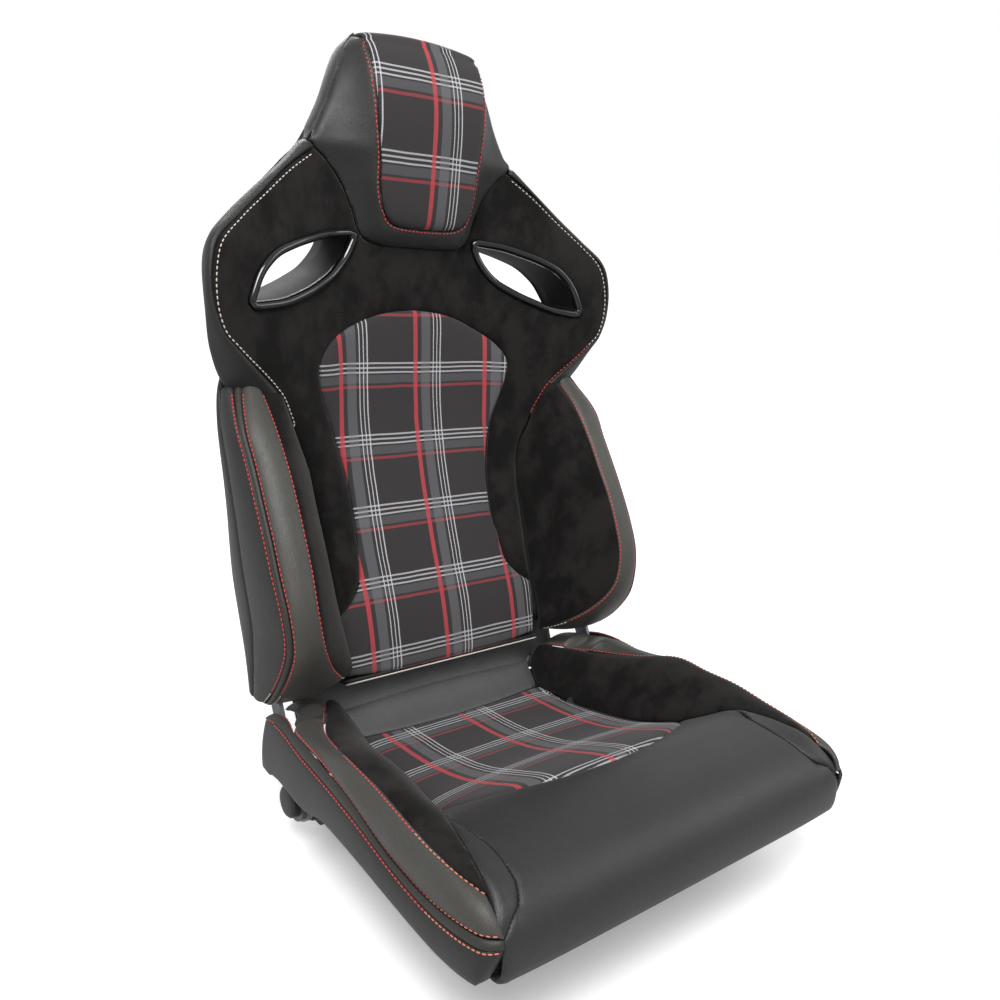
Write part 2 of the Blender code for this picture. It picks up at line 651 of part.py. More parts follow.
def make_shell():
    """The shell is laid out over its share of the half width, so that its rows follow its rim."""
    def width(z):
        return along(SHELL_HALF, z)

    def rear(share, z):
        return shell_back(share * width(z), z)

    foot, top = SHELL_HALF[0][0], SHELL_HALF[-1][0]
    shares = (0.5, 0.8, 0.92)
    holes = [[(x / width(z), z) for x, z in flip(grown(SLOT, 0.001), s)] for _, s in both_sides()]
    panel(
        "back_shell", [(-1, foot), (1, foot), (1, top), (-1, top)], lambda a, z: rear(a, z) - SHELL_WALL, rear,
        lambda a, z, y: (a * width(z), y, z), SHELL_BLACK, holes, (*(-a for a in shares), 0.0, *shares),
        [z for z, _ in SHELL_HALF[1:-1]] + [0.300, 0.385, 0.440, 0.600],
    )


# ---------------------------------------------------------------- backrest pads

def make_back_pads():
    slots = [flip(grown(SLOT, GAP), s) for _, s in both_sides()]
    panel(
        "back_foam", UPPER_OUTLINE, lambda x, z: cover_front(x, z) + PANEL + WADDING, foam_back, back_place, FOAM,
        slots, BACK_CUTS_U, BACK_CUTS_V,
    )
    openings = [*slots, grown(BACK_INSERT, GAP), grown(HEAD_INSERT, GAP)]
    skin = {"low": cover_front, "high": lambda x, z: cover_front(x, z) + PANEL}
    panel("back_cover", UPPER_OUTLINE, **skin, place=back_place, finish=SUEDE, holes=openings,
          cuts_u=BACK_CUTS_U, cuts_v=BACK_CUTS_V)
    for name, outline in (("back_insert", BACK_INSERT), ("headrest_insert", HEAD_INSERT)):
        panel(name, outline, **skin, place=back_place, finish=PLAID, cuts_u=BACK_CUTS_U, cuts_v=BACK_CUTS_V)
    for side, s in both_sides():
        ring, bore = flip(SLOT, s), flip(grown(SLOT, -SLOT_WALL), s)
        panel(f"harness_bezel_{side}", ring, lambda x, z: cover_front(x, z) - 0.003,
              lambda x, z: shell_back(x, z) + 0.002, back_place, BEZEL_BLACK, [bore])
        make_back_bolster(side, s)


def make_back_bolster(side, s):
    """A fin-shaped bolster: horizontal sections from its pointed foot to its top."""
    bm = bmesh.new()
    rings = []
    for z, front, rear in BOLSTER_LINE:
        outer = 0.2345 + 0.0305 * smooth((z - 0.215) / 0.040) - 0.006 * smooth((z - 0.43) / 0.06)
        inner = 0.200 - 0.0395 * smooth((z - 0.155) / 0.06) + 0.045 * smooth((z - 0.42) / 0.075)
        valley = max(along(BACK_LINE, z) - 0.004, front + 0.004)
        rear_inner = max(rear, valley + 0.004)
        section = [
            (inner, min(valley, rear_inner - 0.002)), (inner + (0.2225 - inner) * 0.75, front + 0.012),
            (0.228, front), (outer - 0.010, front + 0.001), (outer, front + 0.012 * smooth((z - 0.16) / 0.03)),
            (outer, rear), (inner, rear_inner),
        ]
        rings.append([bm.verts.new((x * s, y, z)) for x, y in section])
    for first, second in zip(rings, rings[1:]):
        for i in range(len(first)):
            k = (i + 1) % len(first)
            bm.faces.new([first[i], first[k], second[k], second[i]])
    bm.faces.new(rings[0])
    bm.faces.new(rings[-1])
    bmesh.ops.triangulate(bm, faces=bm.faces)
    add(f"back_bolster_{side}", finish_mesh(f"back_bolster_{side}", bm), SUEDE)


# ---------------------------------------------------------------- cushion pads

CENTRE_HALF = 0.1495
ROLL_REAR = -0.2350
FOAM_HALF = 0.2343
CUSHION_CUTS = (-0.325, -0.31, -0.28, -0.20, -0.146, -0.09, -0.03, 0.03, 0.075)


def make_cushion_pads():
    centre = [(-CENTRE_HALF, ROLL_REAR), (CENTRE_HALF, ROLL_REAR), (CENTRE_HALF, 0.108), (-CENTRE_HALF, 0.108)]
    panel("cushion_foam", centre, cushion_bottom, lambda x, y: cushion_top(x, y) - PANEL - WADDING, cushion_place, FOAM,
          cuts_u=(-0.12, 0.0, 0.12), cuts_v=CUSHION_CUTS)
    seam = 0.072
    skin = {"low": lambda x, y: cushion_top(x, y) - PANEL, "high": cushion_top, "place": cushion_place}
    front = ROLL_REAR
    insert = [(-CENTRE_HALF, front), (CENTRE_HALF, front), (CENTRE_HALF, seam), (-CENTRE_HALF, seam)]
    panel("cushion_insert", insert, **skin, finish=PLAID, cuts_u=(-0.12, 0.0, 0.12), cuts_v=CUSHION_CUTS)
    strip = [(-CENTRE_HALF, seam + GAP), (CENTRE_HALF, seam + GAP), (CENTRE_HALF, 0.108), (-CENTRE_HALF, 0.108)]
    panel("cushion_rear_strip", strip, **skin, finish=LEATHER, cuts_u=(-0.12, 0.0, 0.12), cuts_v=(0.09,))
    roll_rear = ROLL_REAR - GAP
    corner = 0.040
    roll = [
        (FOAM_HALF, roll_rear), (-FOAM_HALF, roll_rear), (-FOAM_HALF, CUSHION_FRONT + corner),
        (-FOAM_HALF + 0.010, CUSHION_FRONT + 0.014), (-FOAM_HALF + corner, CUSHION_FRONT),
        (FOAM_HALF - corner, CUSHION_FRONT), (FOAM_HALF - 0.010, CUSHION_FRONT + 0.014),
        (FOAM_HALF, CUSHION_FRONT + corner),
    ]
    panel("cushion_front_roll", roll, lambda x, y: FRONT_BOTTOM if y < -0.27 else cushion_bottom(x, y) + 0.003,
          cushion_top, cushion_place, LEATHER, cuts_u=(-0.22, -0.17, -0.12, 0.0, 0.12, 0.17, 0.22), cuts_v=CUSHION_CUTS)
    inner = CENTRE_HALF + GAP
    for side, s in both_sides():
        pad = flip([(inner, front), (FOAM_HALF, front), (FOAM_HALF, 0.090), (0.222, 0.104), (inner, 0.108)], s)
        cuts = tuple(s * x for x in (0.18, 0.215))
        panel(f"cushion_bolster_{side}", pad, cushion_bottom, cushion_top, cushion_place, SUEDE,
              cuts_u=cuts, cuts_v=CUSHION_CUTS)
        make_cushion_side(side, s)


def make_cushion_side(side, s):
    """The leather side of the cushion, outboard of the recliner arm, with its rounded front corner."""
    outer, wall = CUSHION_HALF, 0.0115
    front = CUSHION_FRONT
    outline = [(outer - wall, 0.112), (outer - wall, -0.020), (FOAM_HALF + GAP, -0.035), (FOAM_HALF + GAP, front + 0.040),
               (FOAM_HALF - 0.009, front + 0.0135), (0.232, front + 0.010), (0.246, front + 0.022), (outer, front + 0.045),
               (outer, 0.112)]

    def top(x, y):
        crowned = along(BOLSTER_TOP, y) - 0.002
        return crowned - 0.020 * smooth((abs(x) - 0.240) / 0.016) * (1 - smooth((y + 0.02) / 0.05))

    def bottom(x, y):
        """The hem dips beside the recliner, and again behind the pivot cap."""
        return SKIRT_BOTTOM - 0.014 * smooth((y + 0.055) / 0.045) - 0.007 * smooth((y - 0.070) / 0.008)

    panel(f"cushion_side_{side}", flip(outline, s), bottom, top, cushion_place, LEATHER,
          cuts_v=(*CUSHION_CUTS, -0.055, 0.0, 0.070, 0.078, 0.100))


# ---------------------------------------------------------------- assembly

def main():
    clear_scene()
    make_runners()
    make_cushion_frame()
    make_release_bar()
    make_recliner()
    make_back_frame()
    make_shell()
    make_back_pads()
    make_cushion_pads()
    sides = ("left", "right")
    recline = joint_empty("recline_axis", (0, PIVOT_Y, PIVOT_Z))
    wheel = joint_empty("handwheel_axis", (0, PIVOT_Y, PIVOT_Z))
    lift = joint_empty("release_axis", (0, BAR_PIVOT_Y, BAR_Z))
    backrest = ["pivot_cap", "back_frame_hoop", "back_cross_tube", "lumbar_wire_1", "lumbar_wire_2", "back_shell",
                "back_foam", "back_cover", "back_insert", "headrest_insert"]
    for side in sides:
        backrest += [f"{part}_{side}" for part in ("recliner_gear", "recliner_arm", "arm_bolt_1", "arm_bolt_2",
                                                   "harness_bezel", "back_bolster")]
    attach(recline, backrest)
    attach(wheel, ["recline_shaft", "recline_handwheel", "handwheel_cap"])
    attach(lift, ["release_bar"])


main()
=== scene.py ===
"""The looks of a reclining racing seat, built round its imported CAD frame.

Metres, +Z up, the seat faces -Y. Each trim panel is its own closed piece: a smooth surface that
dips into its seams, with stitches laid along them. Metal parts keep their CAD shapes.
"""

import math

import bmesh
import bpy
import numpy as np
from mathutils import Matrix, Vector, geometry, kdtree
from mathutils.bvhtree import BVHTree


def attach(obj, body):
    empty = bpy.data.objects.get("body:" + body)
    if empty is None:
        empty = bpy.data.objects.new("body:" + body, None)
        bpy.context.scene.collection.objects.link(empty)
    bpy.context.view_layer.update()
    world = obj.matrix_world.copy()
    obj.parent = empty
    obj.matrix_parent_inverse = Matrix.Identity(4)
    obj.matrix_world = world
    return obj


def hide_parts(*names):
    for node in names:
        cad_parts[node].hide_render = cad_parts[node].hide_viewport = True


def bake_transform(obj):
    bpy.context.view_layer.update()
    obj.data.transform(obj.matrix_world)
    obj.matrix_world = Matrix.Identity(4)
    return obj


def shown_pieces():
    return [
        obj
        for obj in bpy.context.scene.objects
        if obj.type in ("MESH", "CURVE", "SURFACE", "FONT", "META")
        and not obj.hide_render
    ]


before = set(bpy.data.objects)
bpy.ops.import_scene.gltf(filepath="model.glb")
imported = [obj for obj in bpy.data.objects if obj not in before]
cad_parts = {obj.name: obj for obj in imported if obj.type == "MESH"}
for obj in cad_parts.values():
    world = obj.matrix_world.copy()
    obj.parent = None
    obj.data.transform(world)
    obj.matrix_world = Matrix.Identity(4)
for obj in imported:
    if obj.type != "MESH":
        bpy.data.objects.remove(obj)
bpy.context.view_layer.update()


# ---------------------------------------------------------------- curves and surfaces

def table(points, t, column=1):
    """A smooth curve through a table's points, at an array of places."""
    xs = np.array([p[0] for p in points], float)
    ys = np.array([p[column] for p in points], float)
    slopes = np.empty_like(ys)
    slopes[1:-1] = (ys[2:] - ys[:-2]) / (xs[2:] - xs[:-2])
    slopes[0], slopes[-1] = (ys[1] - ys[0]) / (xs[1] - xs[0]), (ys[-1] - ys[-2]) / (xs[-1] - xs[-2])
    t = np.clip(np.asarray(t, float), xs[0], xs[-1])
    i = np.clip(np.searchsorted(xs, t, side="right") - 1, 0, len(xs) - 2)
    width = xs[i + 1] - xs[i]
    s = (t - xs[i]) / width
    return (ys[i] * (1 + 2 * s) * (1 - s) ** 2 + ys[i + 1] * s * s * (3 - 2 * s)
            + slopes[i] * width * s * (1 - s) ** 2 + slopes[i + 1] * width * s * s * (s - 1))


def smooth(t):
    """A step from 0 to 1 with soft ends."""
    t = np.clip(t, 0.0, 1.0)
    return t * t * (3.0 - 2.0 * t)


def curve(points, spacing=None, count=None):
    """A smooth curve through a few points, resampled to even steps."""
    points = np.array(points, float)
    steps = np.linalg.norm(np.diff(points, axis=0), axis=1)
    place = np.concatenate([[0.0], np.cumsum(np.sqrt(steps))])
    dense = np.linspace(0, place[-1], 40 * len(points))
    fine = np.stack([table(list(zip(place, points[:, k])), dense) for k in range(points.shape[1])], 1)
    return resample(fine, spacing, count)


def resample(points, spacing=None, count=None):
    """Points at even steps along a line."""
    points = np.array(points, float)
    steps = np.linalg.norm(np.diff(points, axis=0), axis=1)
    place = np.concatenate([[0.0], np.cumsum(steps)])
    count = count or max(int(round(place[-1] / spacing)), 2) + 1
    wanted = np.linspace(0, place[-1], count)
    return np.stack([np.interp(wanted, place, points[:, k]) for k in range(points.shape[1])], 1)


def join(*stretches):
    """Stretches of an outline end to end, without their shared points."""
    result = [tuple(stretches[0][0])]
    for stretch in stretches:
        for point in stretch:
            if math.dist(point, result[-1]) > 1e-5:
                result.append(tuple(point))
    if math.dist(result[0], result[-1]) < 1e-5:
        result.pop()
    return np.array(result)


def mirror_outline(half):
    """A closed outline from its half with x >= 0, which starts and ends on x = 0."""
    half = np.array(half)
    other = half[::-1] * [-1, 1]
    return join(half, other)


SIDES = (("left", 1), ("right", -1))


# ---------------------------------------------------------------- mesh tools

def dense_loop(loop, step=0.0008):
    """A closed loop's points at a fine spacing."""
    loop = np.array(loop, float)
    return resample(np.vstack([loop, loop[:1]]), spacing=step)[:-1]


def distance_to(points, targets):
    """Each point's distance to the nearest target."""
    tree = kdtree.KDTree(len(targets))
    for i, target in enumerate(targets):
        tree.insert((*target, 0.0) if len(target) == 2 else tuple(target), i)
    tree.balance()
    pad = (0.0,) if points.shape[1] == 2 else ()
    return np.array([tree.find((*point, *pad))[2] for point in points])


def inside(points, loop):
    """Whether each flat point is inside a closed loop."""
    a, b = loop, np.roll(loop, -1, axis=0)
    x, y = points[:, 0:1], points[:, 1:2]
    spans = (a[:, 1] > y) != (b[:, 1] > y)
    with np.errstate(divide="ignore", invalid="ignore"):
        cross = a[:, 0] + (y - a[:, 1]) * (b[:, 0] - a[:, 0]) / (b[:, 1] - a[:, 1])
    return (np.sum(spans & (x < cross), axis=1) % 2).astype(bool)


EDGE_RINGS = (0.0011, 0.0026, 0.0050, 0.0085)          # how far each ring of points lies from an edge


def fill(outline, holes=(), step=0.009):
    """Triangles over a flat outline: rings of points along its edges, and a grid inside."""
    loops = [np.array(outline, float)] + [np.array(hole, float) for hole in holes]
    edge = np.vstack([dense_loop(loop) for loop in loops])

    def kept(points, least):
        good = inside(points, loops[0])
        for hole in loops[1:]:
            good &= ~inside(points, hole)
        points = points[good]
        return points[distance_to(points, edge) > least] if len(points) else points

    found = []
    for ring in EDGE_RINGS:
        for loop in loops:
            fine = dense_loop(loop, 0.0045)
            tangent = np.roll(fine, -1, axis=0) - np.roll(fine, 1, axis=0)
            normal = np.stack([-tangent[:, 1], tangent[:, 0]], 1)
            normal /= np.linalg.norm(normal, axis=1)[:, None] + 1e-12
            for side in (1, -1):
                found.append(kept(fine + normal * ring * side, ring * 0.97))
    low, high = loops[0].min(0), loops[0].max(0)
    rows = np.arange(low[1], high[1], step * 0.866)
    grid = [(x + (i % 2) * step / 2, y) for i, y in enumerate(rows) for x in np.arange(low[0], high[0], step)]
    found.append(kept(np.array(grid), EDGE_RINGS[-1] + 0.45 * step))
    points = np.vstack(loops + [f for f in found if len(f)])
    edges, start = [], 0
    for loop in loops:
        edges += [(start + i, start + (i + 1) % len(loop)) for i in range(len(loop))]
        start += len(loop)
    made = geometry.delaunay_2d_cdt([Vector(p) for p in points], edges, [], 0, 1e-6)
    places = np.array([tuple(v) for v in made[0]])
    faces = np.array(made[2])
    middle = places[faces].mean(axis=1)
    good = inside(middle, loops[0])
    for hole in loops[1:]:
        good &= ~inside(middle, hole)
    return places, faces[good]


def mesh_object(name, places, faces, fabric=None):
    """An object from vertices and faces, with fabric coordinates in metres as its UV map."""
    mesh = bpy.data.meshes.new(name)
    mesh.from_pydata([tuple(p) for p in places], [], [tuple(int(i) for i in f) for f in faces])
    if fabric is not None:
        layer = mesh.uv_layers.new(name="fabric")
        index = np.empty(len(mesh.loops), np.int32)
        mesh.loops.foreach_get("vertex_index", index)
        layer.data.foreach_set("uv", np.asarray(fabric, np.float32)[index].ravel())
    made = bpy.data.objects.new(name, mesh)
    bpy.context.scene.collection.objects.link(made)
    return made


def sheet(name, outline, surface, holes=(), fabric=None, step=0.009):
    """An open sheet over a flat outline (u, v), placed in space by surface(u, v)."""
    flat, faces = fill(outline, holes, step)
    u, v = flat[:, 0], flat[:, 1]
    places = np.stack(np.broadcast_arrays(*surface(u, v)), 1)
    return mesh_object(name, places, faces, np.stack(fabric(u, v), 1) if fabric else flat)


def loft(name, rows):
    """An open sheet of quads through rows of points."""
    rows = np.array(rows, float)
    n, m = rows.shape[:2]
    faces = []
    for i in range(n - 1):
        k = i + 1
        faces += [(i * m + j, i * m + j + 1, k * m + j + 1, k * m + j) for j in range(m - 1)]
    along_rows = np.cumsum(np.r_[0, np.linalg.norm(np.diff(rows[:, m // 2], axis=0), axis=1)])
    across = np.cumsum(np.r_[0, np.linalg.norm(np.diff(rows[n // 2], axis=0), axis=1)])
    fabric = np.stack(np.meshgrid(across, along_rows), -1).reshape(-1, 2)
    return mesh_object(name, rows.reshape(-1, 3), faces, fabric)


def coordinates(mesh):
    places = np.empty(len(mesh.vertices) * 3, np.float32)
    mesh.vertices.foreach_get("co", places)
    return places.reshape(-1, 3).astype(float)


def normals(mesh):
    found = np.empty(len(mesh.vertices) * 3, np.float32)
    mesh.vertex_normals.foreach_get("vector", found)
    return found.reshape(-1, 3).astype(float)


def face_towards(made, direction):
    """Turns the sheet over if its faces look away from the direction, or from a point given as a function."""
    mesh = made.data
    found = normals(mesh)
    wanted = direction(coordinates(mesh)) if callable(direction) else np.array(direction, float)
    if np.sum(found * wanted) < 0:
        bm = bmesh.new()
        bm.from_mesh(mesh)
        bmesh.ops.reverse_faces(bm, faces=bm.faces)
        bm.to_mesh(mesh)
        bm.free()


def border(mesh):
    """Fine points along the sheet's open edges."""
    bm = bmesh.new()
    bm.from_mesh(mesh)
    found = []
    for edge in bm.edges:
        if edge.is_boundary:
            a, b = (np.array(v.co) for v in edge.verts)
            count = max(int(np.linalg.norm(b - a) / 0.0008), 1)
            found += [a + (b - a) * i / count for i in range(count)]
    bm.free()
    return np.array(found)


def tuck(made, sink=0.0030, radius=0.009, puff=0.0, puff_width=0.03, free=None):
    """Rounds the sheet down into its seams, and crowns it between them."""
    mesh = made.data
    places, found = coordinates(mesh), normals(mesh)
    edge = border(mesh)
    if free is not None:
        edge = edge[~free(edge)]
    away = distance_to(places, edge)
    t = np.clip(away / radius, 0, 1)
    drop = sink * (1 - np.sqrt(1 - (1 - t) ** 2))
    rise = puff * (1 - np.exp(-(away / puff_width) ** 2))
    places += found * (rise - drop)[:, None]
    mesh.vertices.foreach_set("co", places.astype(np.float32).ravel())
    mesh.update()


# ---------------------------------------------------------------- finishing pieces

def thicken(made, thickness):
    """Closes a sheet into a solid panel behind its face."""
    solid = made.modifiers.new("thickness", "SOLIDIFY")
    solid.thickness, solid.offset = thickness, -1.0
    with bpy.context.temp_override(object=made, active_object=made, selected_objects=[made]):
        bpy.ops.object.modifier_apply(modifier=solid.name)


def weld(made):
    """Joins vertices that share a place."""
    bm = bmesh.new()
    bm.from_mesh(made.data)
    bmesh.ops.remove_doubles(bm, verts=bm.verts, dist=1e-6)
    bm.to_mesh(made.data)
    bm.free()


def shade_smooth(made):
    made.data.polygons.foreach_set("use_smooth", [True] * len(made.data.polygons))


def dress(made, material, body, replaces=()):
    """Gives a piece its material and its body, and hides the CAD nodes it stands for."""
    made.data.materials.clear()
    made.data.materials.append(material)
    shade_smooth(made)
    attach(made, body)
    if replaces:
        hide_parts(*replaces)
    return made


def surface_of(*objects):
    """One search tree over a few objects' faces."""
    places, faces = [], []
    for made in objects:
        start = len(places)
        places += [tuple(v.co) for v in made.data.vertices]
        faces += [tuple(start + i for i in f.vertices) for f in made.data.polygons]
    return BVHTree.FromPolygons(places, faces)


STITCH_LENGTH, STITCH_RADIUS, STITCH_LIFT, STITCH_PITCH = 0.0042, 0.00075, 0.0002, 0.0056


def capsule(length, radius):
    """A low stitch: a rounded bar along x, lying on z = 0."""
    sides = 6
    stations = [(-0.5, 0.0), (-0.40, 0.72), (-0.22, 1.0), (0.22, 1.0), (0.40, 0.72), (0.5, 0.0)]
    places, faces = [], []
    for along, share in stations[1:-1]:
        for k in range(sides):
            angle = 2 * math.pi * k / sides
            places.append((along * length, radius * share * math.cos(angle),
                           radius * (0.8 * share * math.sin(angle) + 0.25)))
    rings = len(stations) - 2
    for i in range(rings - 1):
        for k in range(sides):
            n = (k + 1) % sides
            faces.append((i * sides + k, (i + 1) * sides + k, (i + 1) * sides + n, i * sides + n))
    tips = len(places)
    places += [(-0.5 * length, 0, 0), (0.5 * length, 0, 0)]
    for k in range(sides):
        n = (k + 1) % sides
        faces.append((tips, k, n))
        faces.append((tips + 1, (rings - 1) * sides + n, (rings - 1) * sides + k))
    return np.array(places), faces


def stitch_row(name, paths, onto, pitch):
    """Stitches along paths laid on a surface, as one mesh."""
    unit, unit_faces = capsule(STITCH_LENGTH, STITCH_RADIUS)
    places, faces = [], []
    for path in paths:
        line = resample(path, spacing=pitch)
        for i in range(len(line) - 1):
            middle = (line[i] + line[i + 1]) / 2
            hit, normal, _, _ = onto.find_nearest(Vector(middle), 0.05)
            if hit is None:
                continue
            forward = Vector(line[i + 1] - line[i])
            forward -= normal * forward.dot(normal)
            if forward.length < 1e-6:
                continue
            forward.normalize()
            across = normal.cross(forward)
            axes = np.array([forward, across, normal])
            start = len(places)
            places += list(unit @ axes + np.array(hit + normal * STITCH_LIFT))
            faces += [tuple(start + k for k in f) for f in unit_faces]
    return mesh_object(name, places, faces)


def cord(name, path, radius):
    """A round cord along a path, closed at its ends."""
    sides = 10
    line = resample(path, spacing=0.004)
    tangent = np.gradient(line, axis=0)
    tangent /= np.linalg.norm(tangent, axis=1)[:, None]
    side = np.cross(tangent[0], [0.3, 0.2, 1.0])
    rows = []
    for point, way in zip(line, tangent):
        side = side - way * np.dot(side, way)
        side /= np.linalg.norm(side)
        other = np.cross(way, side)
        angles = np.linspace(0, 2 * math.pi, sides, endpoint=False)
        rows.append([point + radius * (math.cos(a) * side + math.sin(a) * other) for a in angles])
    n = len(rows)
    places = np.array(rows).reshape(-1, 3)
    faces = []
    for i in range(n - 1):
        for k in range(sides):
            m = (k + 1) % sides
            faces.append((i * sides + k, i * sides + m, (i + 1) * sides + m, (i + 1) * sides + k))
    faces += [tuple(range(sides - 1, -1, -1)), tuple((n - 1) * sides + k for k in range(sides))]
    return mesh_object(name, places, faces)


# ---------------------------------------------------------------- materials

PLAID_PERIOD = (0.110, 0.0905)          # across and along the fabric
PLAID_ACROSS = [(-0.026, 0.026, "red"), (0.080, 0.205, "grey"), (0.245, 0.258, "white"),
                (0.295, 0.308, "white"), (0.345, 0.358, "white")]
PLAID_ALONG = [(-0.012, 0.012, "white"), (0.050, 0.074, "white"), (0.112, 0.136, "white"),
               (0.160, 0.275, "grey"), (0.305, 0.345, "red")]
YARNS = {"ground": (0.036, 0.032, 0.033), "grey": (0.230, 0.230, 0.245), "white": (0.74, 0.74, 0.77),
         "red": (0.60, 0.062, 0.080)}
COVERS = {"ground": 0.0, "grey": 0.45, "white": 0.88, "red": 0.90}


class Finish:
    """A material's node tree, with short names for its nodes."""

    def __init__(self, name):
        self.material = bpy.data.materials.new(name)
        self.material.use_nodes = True
        self.tree = self.material.node_tree
        self.shader = self.tree.nodes["Principled BSDF"]

    def node(self, kind, inputs=None, **settings):
        made = self.tree.nodes.new("ShaderNode" + kind)
        for key, value in settings.items():
            setattr(made, key, value)
        for key, value in (inputs or {}).items():
            self.put(made.inputs[key], value)
        return made

    def put(self, socket, value):
        if isinstance(value, bpy.types.NodeSocket):
            self.tree.links.new(value, socket)
        elif isinstance(value, tuple) and len(value) == 3 and socket.type == "RGBA":
            socket.default_value = (*value, 1.0)
        else:
            socket.default_value = value

    def math(self, operation, a, b=0.5):
        return self.node("Math", {0: a, 1: b}, operation=operation).outputs[0]

    def mix(self, share, a, b):
        made = self.node("Mix", data_type="RGBA", blend_type="MIX")
        for socket, value in zip((made.inputs[0], made.inputs[6], made.inputs[7]), (share, a, b)):
            self.put(socket, value)
        return made.outputs[2]

    def between(self, value, low, high, to_low=0.0, to_high=1.0):
        return self.node("MapRange", {"Value": value, "From Min": low, "From Max": high, "To Min": to_low,
                                      "To Max": to_high}, interpolation_type="SMOOTHSTEP").outputs[0]

    def place(self, scale=(1, 1, 1)):
        spot = self.node("TexCoord").outputs["Object"]
        return self.node("Mapping", {"Vector": spot, "Scale": scale}).outputs[0]

    def noise(self, scale, detail=3.0, rough=0.55, where=None):
        return self.node("TexNoise", {"Vector": where or self.place(), "Scale": scale, "Detail": detail,
                                      "Roughness": rough}).outputs["Fac"]

    def bump(self, height, distance, strength=1.0, under=None):
        made = self.node("Bump", {"Height": height, "Distance": distance, "Strength": strength})
        if under is not None:
            self.put(made.inputs["Normal"], under)
        return made.outputs[0]

    def set(self, **inputs):
        for key, value in inputs.items():
            self.put(self.shader.inputs[key.replace("_", " ")], value)
        return self.material


def leather(name, colour, roughness=0.43, grain=1.0):
    """Pebbled leather: cells of grain with painted shade in their valleys, finer pores, and a slow drift in
    sheen.
    """
    f = Finish(name)
    cells = f.node("TexVoronoi", {"Vector": f.place(), "Scale": 720.0, "Randomness": 0.95},
                   feature="DISTANCE_TO_EDGE").outputs["Distance"]
    pebble = f.between(cells, 0.0, 0.22)
    pores = f.noise(2600, 2)
    drift = f.noise(9.0, 4, 0.6)
    creases = f.noise(60.0, 5, 0.65)
    height = f.math("ADD", f.math("MULTIPLY", pebble, 0.75), f.math("MULTIPLY", pores, 0.25))
    soft = f.bump(creases, 0.0010, 0.35)
    light = tuple(min(c * 1.30 + 0.004, 1) for c in colour)
    dark = tuple(c * 0.74 for c in colour)
    tone = f.mix(drift, dark, light)
    # the grain's valleys are darkened toward a deeper tone: painted shade
    valley_shade = f.math("MULTIPLY", f.math("SUBTRACT", 1.0, pebble), 0.55)
    tone = f.mix(valley_shade, tone, tuple(c * 0.45 for c in colour))
    worn = 0.25                                         # how far the sheen wanders
    rough = f.math("ADD", roughness - worn * 0.25, f.math("MULTIPLY", f.noise(26.0, 4), worn * 0.5))
    return f.set(Base_Color=tone, Roughness=rough, Specular_IOR_Level=0.45, Sheen_Weight=0.06,
                 Sheen_Roughness=0.5, Normal=f.bump(height, 0.00022 * grain, 0.55, soft))


def suede(name, colour):
    """Brushed microfibre: patches stroked one way or the other, and a soft pile."""
    f = Finish(name)
    strokes = f.noise(17.0, 5, 0.62, f.place((1.0, 1.0, 0.75)))
    patches = f.noise(42.0, 4, 0.6, f.place((1.0, 1.0, 0.6)))
    both = f.math("ADD", f.math("MULTIPLY", strokes, 0.65), f.math("MULTIPLY", patches, 0.35))
    share = f.between(both, 0.42, 0.60)
    fibre = f.noise(3400, 2, 0.7)
    light = tuple(c * 2.15 + 0.001 for c in colour)
    tone = f.mix(share, tuple(c * 0.62 for c in colour), light)
    tone = f.mix(f.math("MULTIPLY", fibre, 0.30), tone, tuple(c * 2.4 for c in colour))
    pile = f.math("ADD", f.math("MULTIPLY", fibre, 0.7), f.math("MULTIPLY", both, 0.3))
    return f.set(Base_Color=tone, Roughness=0.92, Specular_IOR_Level=0.12, Sheen_Weight=0.16,
                 Sheen_Roughness=0.45, Sheen_Tint=(0.55, 0.54, 0.52), Normal=f.bump(pile, 0.00028, 0.5))


def stripes(f, place, marks, phase, covers):
    """The colour and the share of one direction's stripes, at a place counted in periods."""
    share = f.math("FRACT", f.math("ADD", place, phase + 0.1))
    ramp = f.node("ValToRGB", {"Fac": share})
    ramp.color_ramp.interpolation = "CONSTANT"
    stops = [(0.0, "ground", 0.0)]
    for low, high, yarn in sorted(marks):
        stops += [(low + 0.1, yarn, covers[yarn]), (high + 0.1, "ground", 0.0)]
    elements = ramp.color_ramp.elements
    while len(elements) < len(stops):
        elements.new(0.5)
    for element, (at, yarn, cover) in zip(elements, stops):
        element.position = at
    for element, (at, yarn, cover) in zip(elements, stops):
        element.color = (*YARNS[yarn], cover)
    return ramp.outputs["Color"], ramp.outputs["Alpha"]


